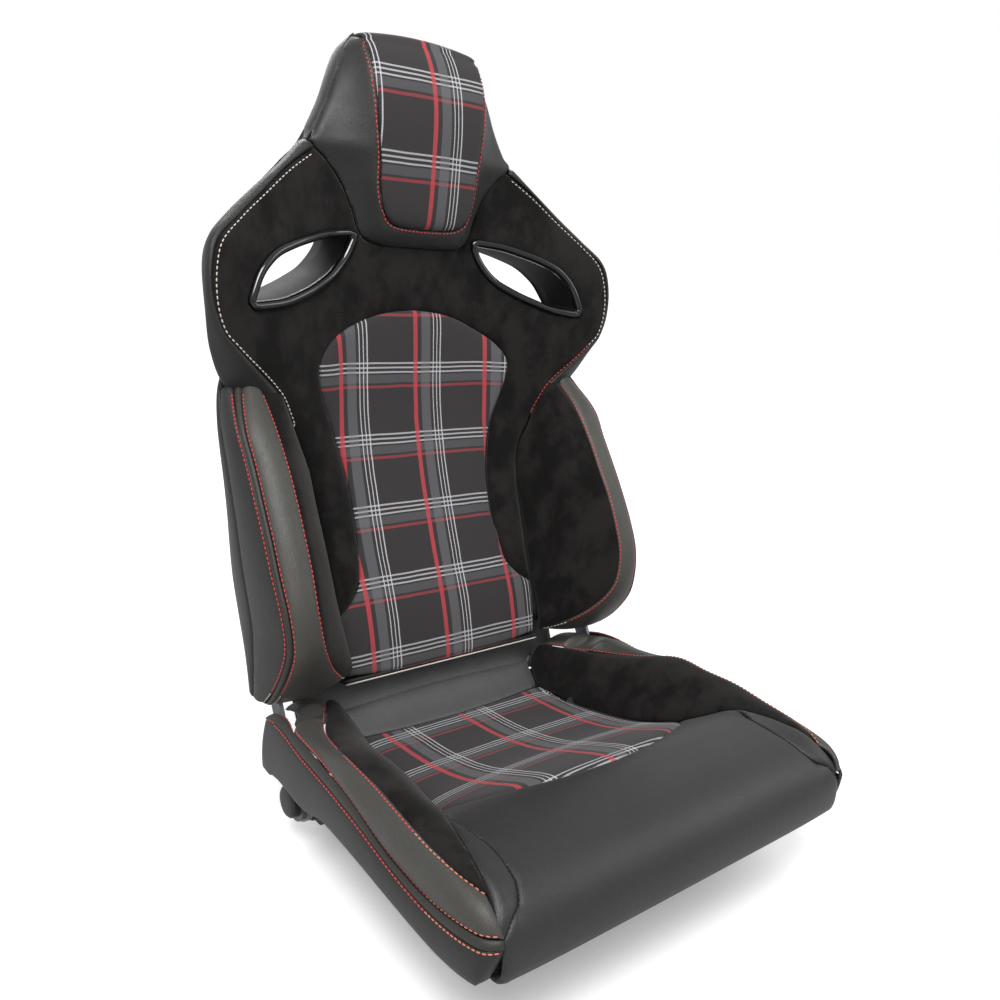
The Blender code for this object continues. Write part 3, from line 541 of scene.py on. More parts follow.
def plaid(name, phase_across=0.0, phase_along=0.0, repeat=PLAID_PERIOD[1]):
    """A woven tartan over the piece's fabric coordinates."""
    f = Finish(name)
    split = f.node("SeparateXYZ", {0: f.node("UVMap", uv_map="fabric").outputs[0]})
    across, along = split.outputs[0], split.outputs[1]
    wander = f.math("MULTIPLY", f.math("SUBTRACT", f.noise(14.0, 2), 0.5), 0.0030)
    across = f.math("ADD", across, wander)
    along = f.math("ADD", along, wander)
    turns = f.math("DIVIDE", across, PLAID_PERIOD[0])
    warp, warp_share = stripes(f, turns, PLAID_ACROSS, phase_across, COVERS)
    weft, weft_share = stripes(f, f.math("DIVIDE", along, -repeat), PLAID_ALONG, phase_along,
                               dict(COVERS, red=0.55, grey=0.34, white=0.80))
    yarn = 0.00062
    rib_across = f.math("PINGPONG", f.math("DIVIDE", across, yarn), 1.0)
    rib_along = f.math("PINGPONG", f.math("DIVIDE", along, yarn), 1.0)
    twill = f.math("PINGPONG", f.math("DIVIDE", f.math("ADD", across, along), yarn * 2), 1.0)
    over = f.between(twill, 0.35, 0.65)
    tone = f.mix(f.math("MULTIPLY", weft_share, f.between(over, 0, 1, 0.95, 0.55)), YARNS["ground"], weft)
    tone = f.mix(f.math("MULTIPLY", warp_share, f.between(over, 0, 1, 0.72, 1.0)), tone, warp)
    lint = f.noise(900.0, 3)
    tone = f.mix(f.math("MULTIPLY", lint, 0.16), tone, (0.11, 0.105, 0.105))
    ribs = f.math("MULTIPLY", rib_across, rib_along)
    # the gaps between the yarns are darkened toward near-black: painted shade
    tone = f.mix(f.math("MULTIPLY", f.math("SUBTRACT", 1.0, ribs), 0.28), tone, (0.008, 0.008, 0.009))
    height = f.math("ADD", f.math("MULTIPLY", ribs, 0.6), f.math("MULTIPLY", over, 0.4))
    return f.set(Base_Color=tone, Roughness=0.86, Specular_IOR_Level=0.18, Sheen_Weight=0.10,
                 Sheen_Roughness=0.5, Normal=f.bump(height, 0.00025, 0.6))


def thread(name, colour):
    """Twisted sewing thread."""
    f = Finish(name)
    twist = f.noise(1500.0, 2)
    tone = f.mix(twist, tuple(c * 0.72 for c in colour), tuple(min(c * 1.15, 1) for c in colour))
    return f.set(Base_Color=tone, Roughness=0.62, Specular_IOR_Level=0.3, Sheen_Weight=0.15,
                 Normal=f.bump(twist, 0.00015, 0.5))


def plastic(name, colour, roughness, grain=0.00012, coat=0.0):
    """Moulded plastic with a fine grain and faint scuffs."""
    f = Finish(name)
    texture = f.noise(1500.0, 3, 0.7)
    scuffs = f.noise(45.0, 5, 0.7, f.place((1, 3, 1)))
    tone = f.mix(scuffs, tuple(c * 0.85 for c in colour), tuple(min(c * 1.2, 1) for c in colour))
    rough = f.math("ADD", roughness - 0.05, f.math("MULTIPLY", scuffs, 0.12))
    return f.set(Base_Color=tone, Roughness=rough, Coat_Weight=coat, Coat_Roughness=0.06,
                 Normal=f.bump(texture, grain, 0.5))


def metal(name, colour, roughness, metallic=1.0, brushed=0.3, worn=(0.25, 0.24, 0.23)):
    """Plated or painted steel: drawn streaks, a little patina and rubbed spots."""
    f = Finish(name)
    streaks = f.noise(90.0, 4, 0.6, f.place((1, 0.08, 1)))
    patina = f.noise(24.0, 5, 0.65)
    rubbed = f.between(f.noise(70.0, 5, 0.7), 0.60, 0.72)
    tone = f.mix(patina, tuple(c * 0.78 for c in colour), tuple(min(c * 1.12, 1) for c in colour))
    tone = f.mix(f.math("MULTIPLY", rubbed, 0.35), tone, worn)
    rough = f.math("ADD", roughness - 0.08, f.math("MULTIPLY", streaks, 0.22))
    return f.set(Base_Color=tone, Metallic=metallic, Roughness=rough,
                 Normal=f.bump(streaks, 0.00008 * (1 + brushed), 0.4))


def foam_finish(name, colour):
    """Moulded polyurethane foam with open cells."""
    f = Finish(name)
    cells = f.node("TexVoronoi", {"Vector": f.place(), "Scale": 900.0}).outputs["Distance"]
    tone = f.mix(cells, tuple(c * 1.1 for c in colour), tuple(c * 0.6 for c in colour))
    return f.set(Base_Color=tone, Roughness=0.95, Normal=f.bump(cells, 0.0004, 0.6))


# ---------------------------------------------------------------- the backrest's surfaces

BACK_LINE = [(0.140, 0.096), (0.220, 0.118), (0.280, 0.145), (0.340, 0.172), (0.400, 0.195), (0.460, 0.212),
             (0.540, 0.222), (0.620, 0.227), (0.700, 0.233), (0.780, 0.241), (0.860, 0.247), (0.920, 0.262)]
WING = [(0.095, 0), (0.115, 0.005), (0.135, 0.0135), (0.155, 0.0225), (0.18, 0.032), (0.21, 0.0405),
        (0.24, 0.047), (0.27, 0.053), (0.29, 0.056)]
WING_SHARE = [(0.36, 0), (0.40, 0.15), (0.455, 0.55), (0.476, 0.73), (0.496, 0.87), (0.512, 0.92),
              (0.54, 1.05), (0.60, 1.05), (0.65, 1.0), (0.68, 0.9), (0.72, 0.65), (0.75, 0.5),
              (0.79, 0.25), (0.83, 0)]
HEAD_RISE = [(0.655, 0), (0.664, 0.001), (0.672, 0.0055), (0.682, 0.0125), (0.692, 0.0185),
             (0.715, 0.026), (0.745, 0.031), (0.80, 0.037), (0.84, 0.0365), (0.87, 0.032), (0.90, 0.022),
             (0.912, 0.012), (0.918, 0.004)]
HEAD_IN = [(0.680, 0.058), (0.715, 0.0635), (0.743, 0.068), (0.770, 0.070), (0.825, 0.0757), (0.877, 0.0795),
           (0.918, 0.080)]
HEAD_OUT = [(0.672, 0.066), (0.690, 0.082), (0.712, 0.090), (0.738, 0.102), (0.764, 0.122),
            (0.785, 0.147), (0.796, 0.139), (0.8275, 0.123), (0.860, 0.110), (0.892, 0.0945),
            (0.909, 0.0845), (0.918, 0.0825)]
FLANK_IN = [(0.234, 0.150), (0.272, 0.113), (0.327, 0.105), (0.384, 0.107), (0.440, 0.118), (0.497, 0.137)]
FLANK_OUT = [(0.2355, 0.151), (0.2865, 0.1535), (0.330, 0.1565), (0.376, 0.1590), (0.411, 0.1634),
             (0.4447, 0.178), (0.497, 0.201)]
SHELL_DEPTH = [(0.172, 0.072), (0.220, 0.088), (0.300, 0.096), (0.620, 0.097), (0.740, 0.0975),
               (0.785, 0.0956), (0.820, 0.089), (0.870, 0.071), (0.910, 0.056)]
SHELL_RIM = [(0.172, 0.050), (0.200, 0.045), (0.240, 0.020), (0.300, 0.010), (0.385, -0.006),
             (0.480, -0.004), (0.560, -0.028), (0.630, -0.029), (0.700, -0.019), (0.750, 0.018),
             (0.800, 0.034), (0.910, 0.036)]
SHELL_HALF = [(0.172, 0.205), (0.200, 0.245), (0.240, 0.262), (0.500, 0.262), (0.560, 0.276), (0.630, 0.284),
              (0.664, 0.278), (0.696, 0.249), (0.722, 0.215), (0.749, 0.180), (0.785, 0.142), (0.8275, 0.117),
              (0.892, 0.088), (0.910, 0.060)]

HEAD_SEAM = [(0, 0.672), (0.040, 0.672), (0.068, 0.676), (0.082, 0.690), (0.090, 0.712), (0.102, 0.738),
             (0.122, 0.764), (0.1405, 0.778)]
FRONT_SEAM = [(0.1405, 0.778), (0.178, 0.753), (0.213, 0.7245), (0.2475, 0.6965), (0.275, 0.669),
              (0.2845, 0.635), (0.2840, 0.599), (0.275, 0.571), (0.262, 0.557), (0.247, 0.542),
              (0.231, 0.527), (0.215, 0.512), (0.201, 0.496), (0.191, 0.476), (0.182, 0.455)]
OUTLINE = [(0.149, 0.242, 0.786), (0.184, 0.229, 0.755), (0.219, 0.220, 0.727), (0.253, 0.206, 0.699),
           (0.2815, 0.186, 0.671), (0.290, 0.178, 0.636), (0.2895, 0.178, 0.598), (0.284, 0.188, 0.565),
           (0.275, 0.195, 0.540), (0.264, 0.200, 0.517), (0.250, 0.205, 0.497), (0.237, 0.208, 0.479),
           (0.226, 0.210, 0.462), (0.216, 0.212, 0.446), (0.208, 0.213, 0.430)]
VALLEY = [(0.182, 0.455), (0.1781, 0.4447), (0.1634, 0.411), (0.1590, 0.3762), (0.1565, 0.3302),
          (0.1535, 0.2865), (0.1512, 0.2385)]
INSERT_EDGE = [(0.1505, 0.2345), (0.130, 0.249), (0.113, 0.272), (0.105, 0.327), (0.107, 0.384),
               (0.118, 0.440), (0.137, 0.497), (0.1415, 0.528), (0.134, 0.545)]
INSERT_TOP = [(0.134, 0.545), (0.115, 0.562), (0.071, 0.584), (0.035, 0.593), (0, 0.596)]
SLOT = [(0.083, 0.6885), (0.131, 0.6845), (0.175, 0.6725), (0.207, 0.6600), (0.229, 0.638), (0.2455, 0.5975),
        (0.195, 0.6025), (0.154, 0.617), (0.120, 0.634), (0.098, 0.657)]


def front(x, z):
    """The backrest's front face: curved in at the lumbar, out at the wings, with the head section raised."""
    a = np.abs(x)
    plain = table(BACK_LINE, z) - table(WING, a) * table(WING_SHARE, z)
    inner, outer = table(HEAD_IN, z), table(HEAD_OUT, z)
    fall = np.clip((a - inner) / np.maximum(outer - inner, 1e-4), 0, 1)
    crown = 0.004 * np.clip(1 - (a / inner) ** 2, 0, 1) * smooth((z - 0.68) / 0.03)
    rise = table(HEAD_RISE, z) * (1 - fall) ** 1.6
    low, high = table(FLANK_IN, z), table(FLANK_OUT, z)
    share = np.clip((a - low) / np.maximum(high - low, 1e-4), 0, 1)
    flank = 0.010 * np.sin(math.pi * share) * smooth((z - 0.235) / 0.05) * (1 - smooth((z - 0.40) / 0.11))
    return plain - rise - crown - flank


def shell_back(x, z):
    """The back of the shell, which turns forward to its rim at the sides."""
    across = np.clip(np.abs(x) / table(SHELL_HALF, z), 0, 1)
    depth, rim = table(SHELL_DEPTH, z), table(SHELL_RIM, z)
    power = 10 - 6.5 * smooth((z - 0.26) / 0.30)
    return table(BACK_LINE, z) + depth - (depth - rim) * across ** power


def on_front(flat, lift=0.0):
    """Flat (x, z) points laid on the front face."""
    flat = np.array(flat, float)
    return np.stack([flat[:, 0], front(flat[:, 0], flat[:, 1]) - lift, flat[:, 1]], 1)


def front_place(u, v):
    return u, front(u, v), v


def rounded(points, radius):
    """A closed polygon with its corners rounded, as a fine loop."""
    points = np.array(points, float)
    found = []
    for before, corner, after in zip(np.roll(points, 1, axis=0), points, np.roll(points, -1, axis=0)):
        back, ahead = before - corner, after - corner
        cut_back = min(radius, np.linalg.norm(back) * 0.45)
        cut_ahead = min(radius, np.linalg.norm(ahead) * 0.45)
        a = corner + back / np.linalg.norm(back) * cut_back
        b = corner + ahead / np.linalg.norm(ahead) * cut_ahead
        for t in np.linspace(0, 1, 7):
            found.append((1 - t) ** 2 * a + 2 * t * (1 - t) * corner + t * t * b)
    return np.array(found)


def grown(loop, amount):
    """A closed loop moved outward."""
    ahead, behind = np.roll(loop, -1, axis=0), np.roll(loop, 1, axis=0)
    tangent = ahead - behind
    normal = np.stack([tangent[:, 1], -tangent[:, 0]], 1)
    normal /= np.linalg.norm(normal, axis=1)[:, None]
    area = np.sum(loop[:, 0] * ahead[:, 1] - ahead[:, 0] * loop[:, 1])
    return loop + normal * (amount if area > 0 else -amount)


def panel(name, start, end, bulge, out, columns):
    """A crowned panel between two rows of points. It bulges to the side the out vectors point to."""
    s = (1 - np.cos(np.linspace(0, math.pi, columns))) / 2
    gap = end - start
    along = np.gradient((start + end) / 2, axis=0)
    normal = np.cross(gap, along)
    normal /= np.linalg.norm(normal, axis=1)[:, None] + 1e-9
    normal *= np.sign(np.sum(normal * out, axis=1))[:, None]
    width = np.linalg.norm(gap, axis=1)[:, None]
    height = np.minimum(bulge, width * 0.30)
    shape = 4 * s * (1 - s)
    rows = start[:, None] + gap[:, None] * s[:, None] + (normal * height)[:, None] * shape[:, None]
    return loft(name, rows)


# ---------------------------------------------------------------- the finishes used

LEATHER = leather("leather", (0.0155, 0.0150, 0.0145), 0.42)
LEATHER_SMOOTH = leather("leather_smooth", (0.0215, 0.0210, 0.0205), 0.39, 0.8)
LEATHER_PALE = leather("leather_pale", (0.078, 0.078, 0.080), 0.42, 0.8)
# olive-tinted leather for the bands, made lighter than the sides: painted sheen
LEATHER_OLIVE_SHEEN = leather("leather_olive_painted_sheen", (0.054, 0.0525, 0.0455), 0.42)
# a darker copy of the leather for the undersides: painted shade
LEATHER_SHADED = leather("leather_painted_shade", (0.0090, 0.0088, 0.0085), 0.50)
LEATHER_STRIP = leather("leather_strip", (0.0270, 0.0265, 0.0225), 0.48)
SUEDE = suede("suede", (0.0068, 0.0063, 0.0060))
PLAID_BACK = plaid("plaid_back", 0.0, 0.43)
PLAID_HEAD = plaid("plaid_head", 0.0, -0.064, 0.096)
PLAID_SEAT = plaid("plaid_seat", 0.0, 0.30)
RED_THREAD = thread("red_thread", (0.58, 0.055, 0.050))
PALE_THREAD = thread("pale_thread", (0.62, 0.56, 0.50))
ORANGE_THREAD = thread("orange_thread", (0.62, 0.20, 0.12))
PIPING = plastic("piping", (0.55, 0.52, 0.47), 0.5)
SHELL = plastic("shell_plastic", (0.012, 0.012, 0.013), 0.45, 0.00025)
# black plastic for the slots' tunnels, darker than the shell: painted shade inside the slots
TUNNEL_SHADED = plastic("tunnel_plastic_painted_shade", (0.003, 0.003, 0.0033), 0.62, 0.00005)
BEZEL = plastic("bezel_plastic", (0.003, 0.003, 0.0035), 0.16, 0.00001, 0.5)
KNOB = plastic("knob_plastic", (0.018, 0.018, 0.019), 0.38, 0.0002)
NYLON = plastic("nylon", (0.60, 0.58, 0.52), 0.45)
ZINC = metal("zinc_steel", (0.50, 0.50, 0.49), 0.36)
ARM = metal("arm_steel", (0.20, 0.205, 0.215), 0.38, 0.85)
PAINTED = metal("painted_steel", (0.014, 0.014, 0.015), 0.40, 0.25, 0.2, (0.05, 0.048, 0.046))
FOAM = foam_finish("foam", (0.020, 0.020, 0.020))

# ---------------------------------------------------------------- the backrest

# the suede shoulders and flanks, in one piece with two openings
seam = curve(FRONT_SEAM, 0.006)
shoulder = join(curve(HEAD_SEAM, 0.005), seam, curve(VALLEY, 0.006), curve(INSERT_EDGE, 0.005),
                curve(INSERT_TOP, 0.006))
slot_edge = rounded(SLOT, 0.013)
slot_loop = grown(resample(np.vstack([slot_edge, slot_edge[:1]]), count=121)[:-1], -0.0055)
opening = grown(slot_edge, -0.0004)
openings = [opening, opening * [-1, 1]]
cover = sheet("shoulder_cover", mirror_outline(shoulder), front_place, openings, step=0.008)
face_towards(cover, (0, -1, 0))
tuck(cover, 0.0042, 0.012)
thicken(cover, 0.006)
dress(cover, SUEDE, "backrest", ["back_cover"])

# the head's leather, a U round its plaid
HEAD_TOP = 0.906
outer = join(curve(HEAD_SEAM + [(0.147, 0.785)], 0.005),
             curve([(0.147, 0.785), (0.139, 0.796), (0.123, 0.8275), (0.110, 0.860), (0.0945, 0.892),
                    (0.0850, HEAD_TOP)], 0.005))
inner_edge = curve([(0.0805, HEAD_TOP), (0.0795, 0.877), (0.0757, 0.825), (0.070, 0.770), (0.0685, 0.743),
                    (0.0625, 0.716), (0.050, 0.7005), (0.030, 0.6960), (0, 0.695)], 0.004)
head_loop = join(outer, inner_edge)


def head_place(u, v):
    """The front face, rolled back round the head's sides."""
    edge = table(HEAD_OUT, v)
    t = np.clip((edge - np.abs(u)) / 0.011, 0, 1)
    roll = 0.010 * (1 - np.sqrt(np.clip(1 - (1 - t) ** 2, 0, 1))) * smooth((v - 0.775) / 0.02)
    return u, front(u, v) + roll, v


head = sheet("head_cover", mirror_outline(head_loop), head_place, step=0.007)
face_towards(head, (0, -1, 0))
tuck(head, 0.0035, 0.010,
     free=lambda e: (e[:, 2] > 0.782) & (np.abs(e[:, 0]) > table(HEAD_IN, e[:, 2]) + 0.003))
thicken(head, 0.005)
dress(head, LEATHER, "backrest")

# the head's plaid, which runs on over the top
z_run = np.linspace(0.694, 0.9085, 60)
head_line = np.vstack([np.stack([front(np.zeros(60), z_run) - 0.0012, z_run], 1),
                       [(0.2385, 0.9135), (0.248, 0.9170), (0.262, 0.9178), (0.276, 0.9150), (0.287, 0.9100),
                        (0.296, 0.9030)]])
head_line = resample(head_line, spacing=0.003)
head_arc = np.r_[0, np.cumsum(np.linalg.norm(np.diff(head_line, axis=0), axis=1))]


def head_insert_place(u, v):
    y, z = np.interp(v, head_arc, head_line[:, 0]), np.interp(v, head_arc, head_line[:, 1])
    top = smooth((z - 0.885) / 0.03)
    across = (u / 0.080) ** 2
    return u, y + 0.0042 * across * (1 - 0.5 * top), z - 0.0065 * across * top


arc_end = head_arc[-1]
half = curve([(0, 0.0010), (0.030, 0.0022), (0.050, 0.0072), (0.0615, 0.0215), (0.0678, 0.050),
              (0.0692, 0.078), (0.0750, 0.134), (0.0788, 0.190), (0.0800, 0.225), (0.0800, arc_end - 0.012),
              (0.076, arc_end - 0.003), (0.060, arc_end), (0, arc_end)], 0.005)
head_insert = sheet("headrest_plaid", mirror_outline(half), head_insert_place, step=0.008)
face_towards(head_insert, lambda p: p - np.array([0, 0.262, 0.80]))
tuck(head_insert, 0.0028, 0.009)
thicken(head_insert, 0.005)
dress(head_insert, PLAID_HEAD, "backrest", ["headrest_insert"])

# the back's plaid
insert_half = join([(0, 0.157)], curve([(0, 0.157), (0.080, 0.159), (0.148, 0.166)], 0.006),
                   curve([(0.148, 0.166), (0.1495, 0.200), (0.1505, 0.2345)], 0.006),
                   curve(INSERT_EDGE, 0.005),
                   curve(INSERT_TOP, 0.006))


def fabric_height(u, v):
    heights = np.linspace(0.15, 0.62, 200)
    run = np.r_[0, np.cumsum(np.hypot(np.diff(heights), np.diff(table(BACK_LINE, heights))))]
    return u, np.interp(v, heights, run)


insert = sheet("back_plaid", mirror_outline(insert_half), front_place, fabric=fabric_height, step=0.008)
face_towards(insert, (0, -1, 0))
tuck(insert, 0.0042, 0.012, 0.0015, 0.02)
thicken(insert, 0.005)
dress(insert, PLAID_BACK, "backrest", ["back_insert"])

# the leather edge of each wing, from its seam round to the shell
for side, sign in SIDES:
    count = 84
    start = on_front(curve(FRONT_SEAM, count=count))
    edge = curve(OUTLINE, count=count)
    z = edge[:, 2]
    rim = np.stack([np.minimum(table(SHELL_HALF, z) + 0.0015, edge[:, 0] - 0.001),
                    table(BACK_LINE, z) + table(SHELL_RIM, z) + 0.004, z], 1)
    rim[:, 1] = np.maximum(rim[:, 1], edge[:, 1] + 0.012)
    rows = []
    for a, b, c in zip(start, edge, rim):
        middle = a + (b - a) * 0.55 + np.array([0, -0.0035, 0])
        near = b + (c - b) * 0.35 + (b - a) / (np.linalg.norm(b - a) + 1e-9) * 0.002
        rows.append(curve([a, middle, b, near, c], count=16))
    band = loft(f"wing_band_{side}", np.array(rows) * [sign, 1, 1])
    face_towards(band, lambda p, s=sign: p - np.array([s * 0.20, 0.27, 0.60]))
    tuck(band, 0.0022, 0.007, free=lambda e: e[:, 1] > table(BACK_LINE, e[:, 2]) + 0.04)
    thicken(band, 0.004)
    dress(band, LEATHER, "backrest")

# the head's side walls, from its rolled edge back to the shell
for side, sign in SIDES:
    path = curve([(0.147, 0.785), (0.139, 0.796), (0.123, 0.8275), (0.110, 0.860), (0.0945, 0.892),
                  (0.0845, 0.907), (0.078, 0.9125)], 0.004)
    x, z = path[:, 0], path[:, 1]
    start = np.stack([x, table(BACK_LINE, z) + 0.0095, z], 1)
    end_x = np.minimum(table(SHELL_HALF, z) + 0.002, x) - 0.010 * smooth((0.803 - z) / 0.02)
    depth = np.maximum(0.037, table(SHELL_RIM, z) + 0.005)
    end = np.stack([end_x, table(BACK_LINE, z) + depth, np.minimum(z, 0.909)], 1)
    wall = panel(f"head_side_{side}", start * [sign, 1, 1], end * [sign, 1, 1], 0.003,
                 np.array([sign, 0, 0.6]), 10)
    face_towards(wall, lambda p: p - np.array([0, 0.26, 0.78]))
    thicken(wall, 0.004)
    dress(wall, LEATHER, "backrest")

# the backrest's bolsters: suede inside, an olive leather band whose lighter colour is painted sheen, with a
# double seam, and a leather side
STATIONS = [  # valley, inner seam, double seam, rear edge, from the top down
    ((0.200, 0.207, 0.525), (0.2200, 0.214, 0.530), (0.240, 0.216, 0.528), (0.244, 0.226, 0.522)),
    ((0.196, 0.203, 0.503), (0.2215, 0.192, 0.507), (0.255, 0.182, 0.500), (0.257, 0.208, 0.500)),
    ((0.187, 0.198, 0.468), (0.2225, 0.152, 0.477), (0.2646, 0.147, 0.4690), (0.262, 0.197, 0.470)),
    ((0.1765, 0.198, 0.438), (0.2225, 0.114, 0.437), (0.2640, 0.123, 0.435), (0.262, 0.190, 0.435)),
    ((0.162, 0.201, 0.405), (0.2225, 0.087, 0.400), (0.2645, 0.098, 0.400), (0.262, 0.180, 0.400)),
    ((0.158, 0.190, 0.367), (0.2235, 0.064, 0.3665), (0.2646, 0.075, 0.366), (0.262, 0.172, 0.366)),
    ((0.1565, 0.171, 0.332), (0.2235, 0.045, 0.332), (0.2646, 0.0535, 0.331), (0.262, 0.166, 0.332)),
    ((0.1540, 0.153, 0.2945), (0.2230, 0.030, 0.2945), (0.2625, 0.034, 0.294), (0.262, 0.157, 0.294)),
    ((0.1515, 0.134, 0.2525), (0.2160, 0.026, 0.2525), (0.2598, 0.0275, 0.255), (0.262, 0.138, 0.2525)),
    ((0.1512, 0.118, 0.2200), (0.1990, 0.040, 0.2190), (0.2615, 0.036, 0.224), (0.262, 0.120, 0.220)),
    ((0.1510, 0.107, 0.1930), (0.1740, 0.066, 0.1900), (0.2610, 0.060, 0.1885), (0.262, 0.108, 0.196)),
    ((0.1505, 0.1015, 0.1720), (0.1530, 0.096, 0.1705), (0.2585, 0.085, 0.1640), (0.260, 0.102, 0.171)),
]
bolster_lines = {}
for side, sign in SIDES:
    count = 90
    places = [curve([s[k] for s in STATIONS], count=count) * [sign, 1, 1] for k in range(4)]
    valley, inner, double, rear = places
    along = np.gradient(double, axis=0)
    fore = (inner - double) / np.linalg.norm(inner - double, axis=1)[:, None]
    aft = (rear - double) / np.linalg.norm(rear - double, axis=1)[:, None]
    first = double + fore * 0.0056 + [sign * 0.0004, -0.0004, 0]
    second = double + aft * 0.0050
    rear = rear + [sign * 0.0035, 0.013, 0]
    middle = second * 0.40 + rear * 0.60 + [sign * 0.006, 0, 0]
    suede_part = panel(f"bolster_suede_{side}", valley, inner, 0.010, np.array([-sign, -0.6, 0]), 26)
    band_part = panel(f"bolster_band_{side}", inner, first, 0.0062, np.array([0, -1, 0]), 18)
    strip_part = panel(f"bolster_strip_{side}", first, second, 0.0012, np.array([sign, -0.7, 0]), 6)
    side_part = panel(f"bolster_side_{side}", second, middle, 0.003, np.array([sign, 0, 0]), 16)
    back_part = panel(f"bolster_side_rear_{side}", middle, rear, 0.003, np.array([sign, 0, 0]), 14)
    axis = np.array([sign * 0.21, 0.16, 0.32])
    for part, sink, radius in ((suede_part, 0.0038, 0.011), (band_part, 0.0026, 0.008),
                               (strip_part, 0.0010, 0.003), (side_part, 0.0020, 0.007),
                               (back_part, 0.0016, 0.006)):
        face_towards(part, lambda p, c=axis, s=sign: (p - c) * [1.4, 1, 0.1])
        tuck(part, sink, radius, free=lambda e: e[:, 2] > 0.515)
        thicken(part, 0.004)
    dress(suede_part, SUEDE, "backrest", [f"back_bolster_{side}"])
    dress(band_part, LEATHER_OLIVE_SHEEN, "backrest")
    dress(strip_part, LEATHER_STRIP, "backrest")
    dress(side_part, LEATHER, "backrest")
    dress(back_part, LEATHER, "backrest")
    # the underside, in a darker copy of the leather: painted shade
    near_row = [valley[-1], (valley[-1] + rear[-1]) / 2, rear[-1]]
    far_row = [inner[-1], (inner[-1] + second[-1]) / 2 - [0, 0, 0.003], second[-1]]
    bottom = loft(f"bolster_base_{side}", [near_row, far_row])
    face_towards(bottom, (0, 0, -1))
    thicken(bottom, 0.003)
    dress(bottom, LEATHER_SHADED, "backrest")
    bolster_lines[side] = (inner, first, second)

# the harness openings' bezels: a raised gloss lip and a tunnel to the back of the shell, in black plastic
# darker than the shell as painted shade inside the slot
for side, sign in SIDES:
    loop = resample(np.vstack([slot_loop, slot_loop[:1]]), count=97)[:-1]
    unit = grown(loop, 1.0) - loop
    x, z = loop[:, 0], loop[:, 1]
    face = front(x + unit[:, 0] * 0.004, z + unit[:, 1] * 0.004)
    back = shell_back(x, z) - 0.0005
    rows = []
    for out, lift in ((0.0068, 0.0062), (0.0068, 0.0010), (0.0060, -0.0018), (0.0044, -0.0029),
                      (0.0026, -0.0024), (0.0010, 0.0000), (0.0002, 0.0042)):
        rows.append(np.stack([x + unit[:, 0] * out, face + lift, z + unit[:, 1] * out], 1))
    deep = [np.stack([x + unit[:, 0] * 0.0004, face + 0.0035 + (back - face - 0.0035) * share,
                      z + unit[:, 1] * 0.0004], 1) for share in (0, 0.1, 0.35, 0.7, 0.99)]
    centre = np.array([sign * x.mean(), 0, z.mean()])
    for name, ring, finish, stands in ((f"bezel_{side}", rows, BEZEL, [f"harness_bezel_{side}"]),
                                       (f"slot_tunnel_{side}", deep, TUNNEL_SHADED, [])):
        ring = np.array(ring) * [sign, 1, 1]
        made = loft(name, np.concatenate([ring, ring[:, :1]], axis=1))
        weld(made)
        face_towards(made, lambda p, c=centre: (c - p) * [1, 0, 1])
        thicken(made, 0.0020)
        dress(made, finish, "backrest", stands)

# the shell, laid out so that its turned sides get their share of faces
SHELL_SPREAD, SHELL_RUN = 2.2, 0.36


def shell_share(u):
    return np.sign(u) * (1 - (1 - np.clip(np.abs(u) / SHELL_RUN, 0, 1)) ** SHELL_SPREAD)


def shell_unshare(x, z):
    share = np.clip(np.abs(x) / table(SHELL_HALF, z), 0, 1)
    return np.sign(x) * SHELL_RUN * (1 - (1 - share) ** (1 / SHELL_SPREAD))


def shell_place(u, v):
    x = shell_share(u) * table(SHELL_HALF, v)
    y = shell_back(x, v)
    field = smooth((0.60 - np.abs(shell_share(u))) / 0.03)
    field = field * smooth((v - 0.26) / 0.012) * smooth((0.585 - v) / 0.012)
    ribs = smooth((np.abs(((v - 0.30) / 0.055) % 1 - 0.5) - 0.32) / 0.08) * field
    return x, y - 0.0035 * field + 0.0022 * ribs, v


shell_half = join([(0, 0.172)], curve([(0, 0.172), (SHELL_RUN, 0.172)], 0.010),
                  curve([(SHELL_RUN, 0.172), (SHELL_RUN, 0.910)], 0.008),
                  curve([(SHELL_RUN, 0.910), (0, 0.910)], 0.010))
wide = grown(slot_loop, 0.0012)
hole = np.stack([shell_unshare(wide[:, 0], wide[:, 1]), wide[:, 1]], 1)
shell = sheet("shell", mirror_outline(shell_half), shell_place, [hole, hole * [-1, 1]], step=0.010)
face_towards(shell, (0, 1, 0))
thicken(shell, 0.0038)
dress(shell, SHELL, "backrest", ["back_shell"])

# ---------------------------------------------------------------- the cushion's surface

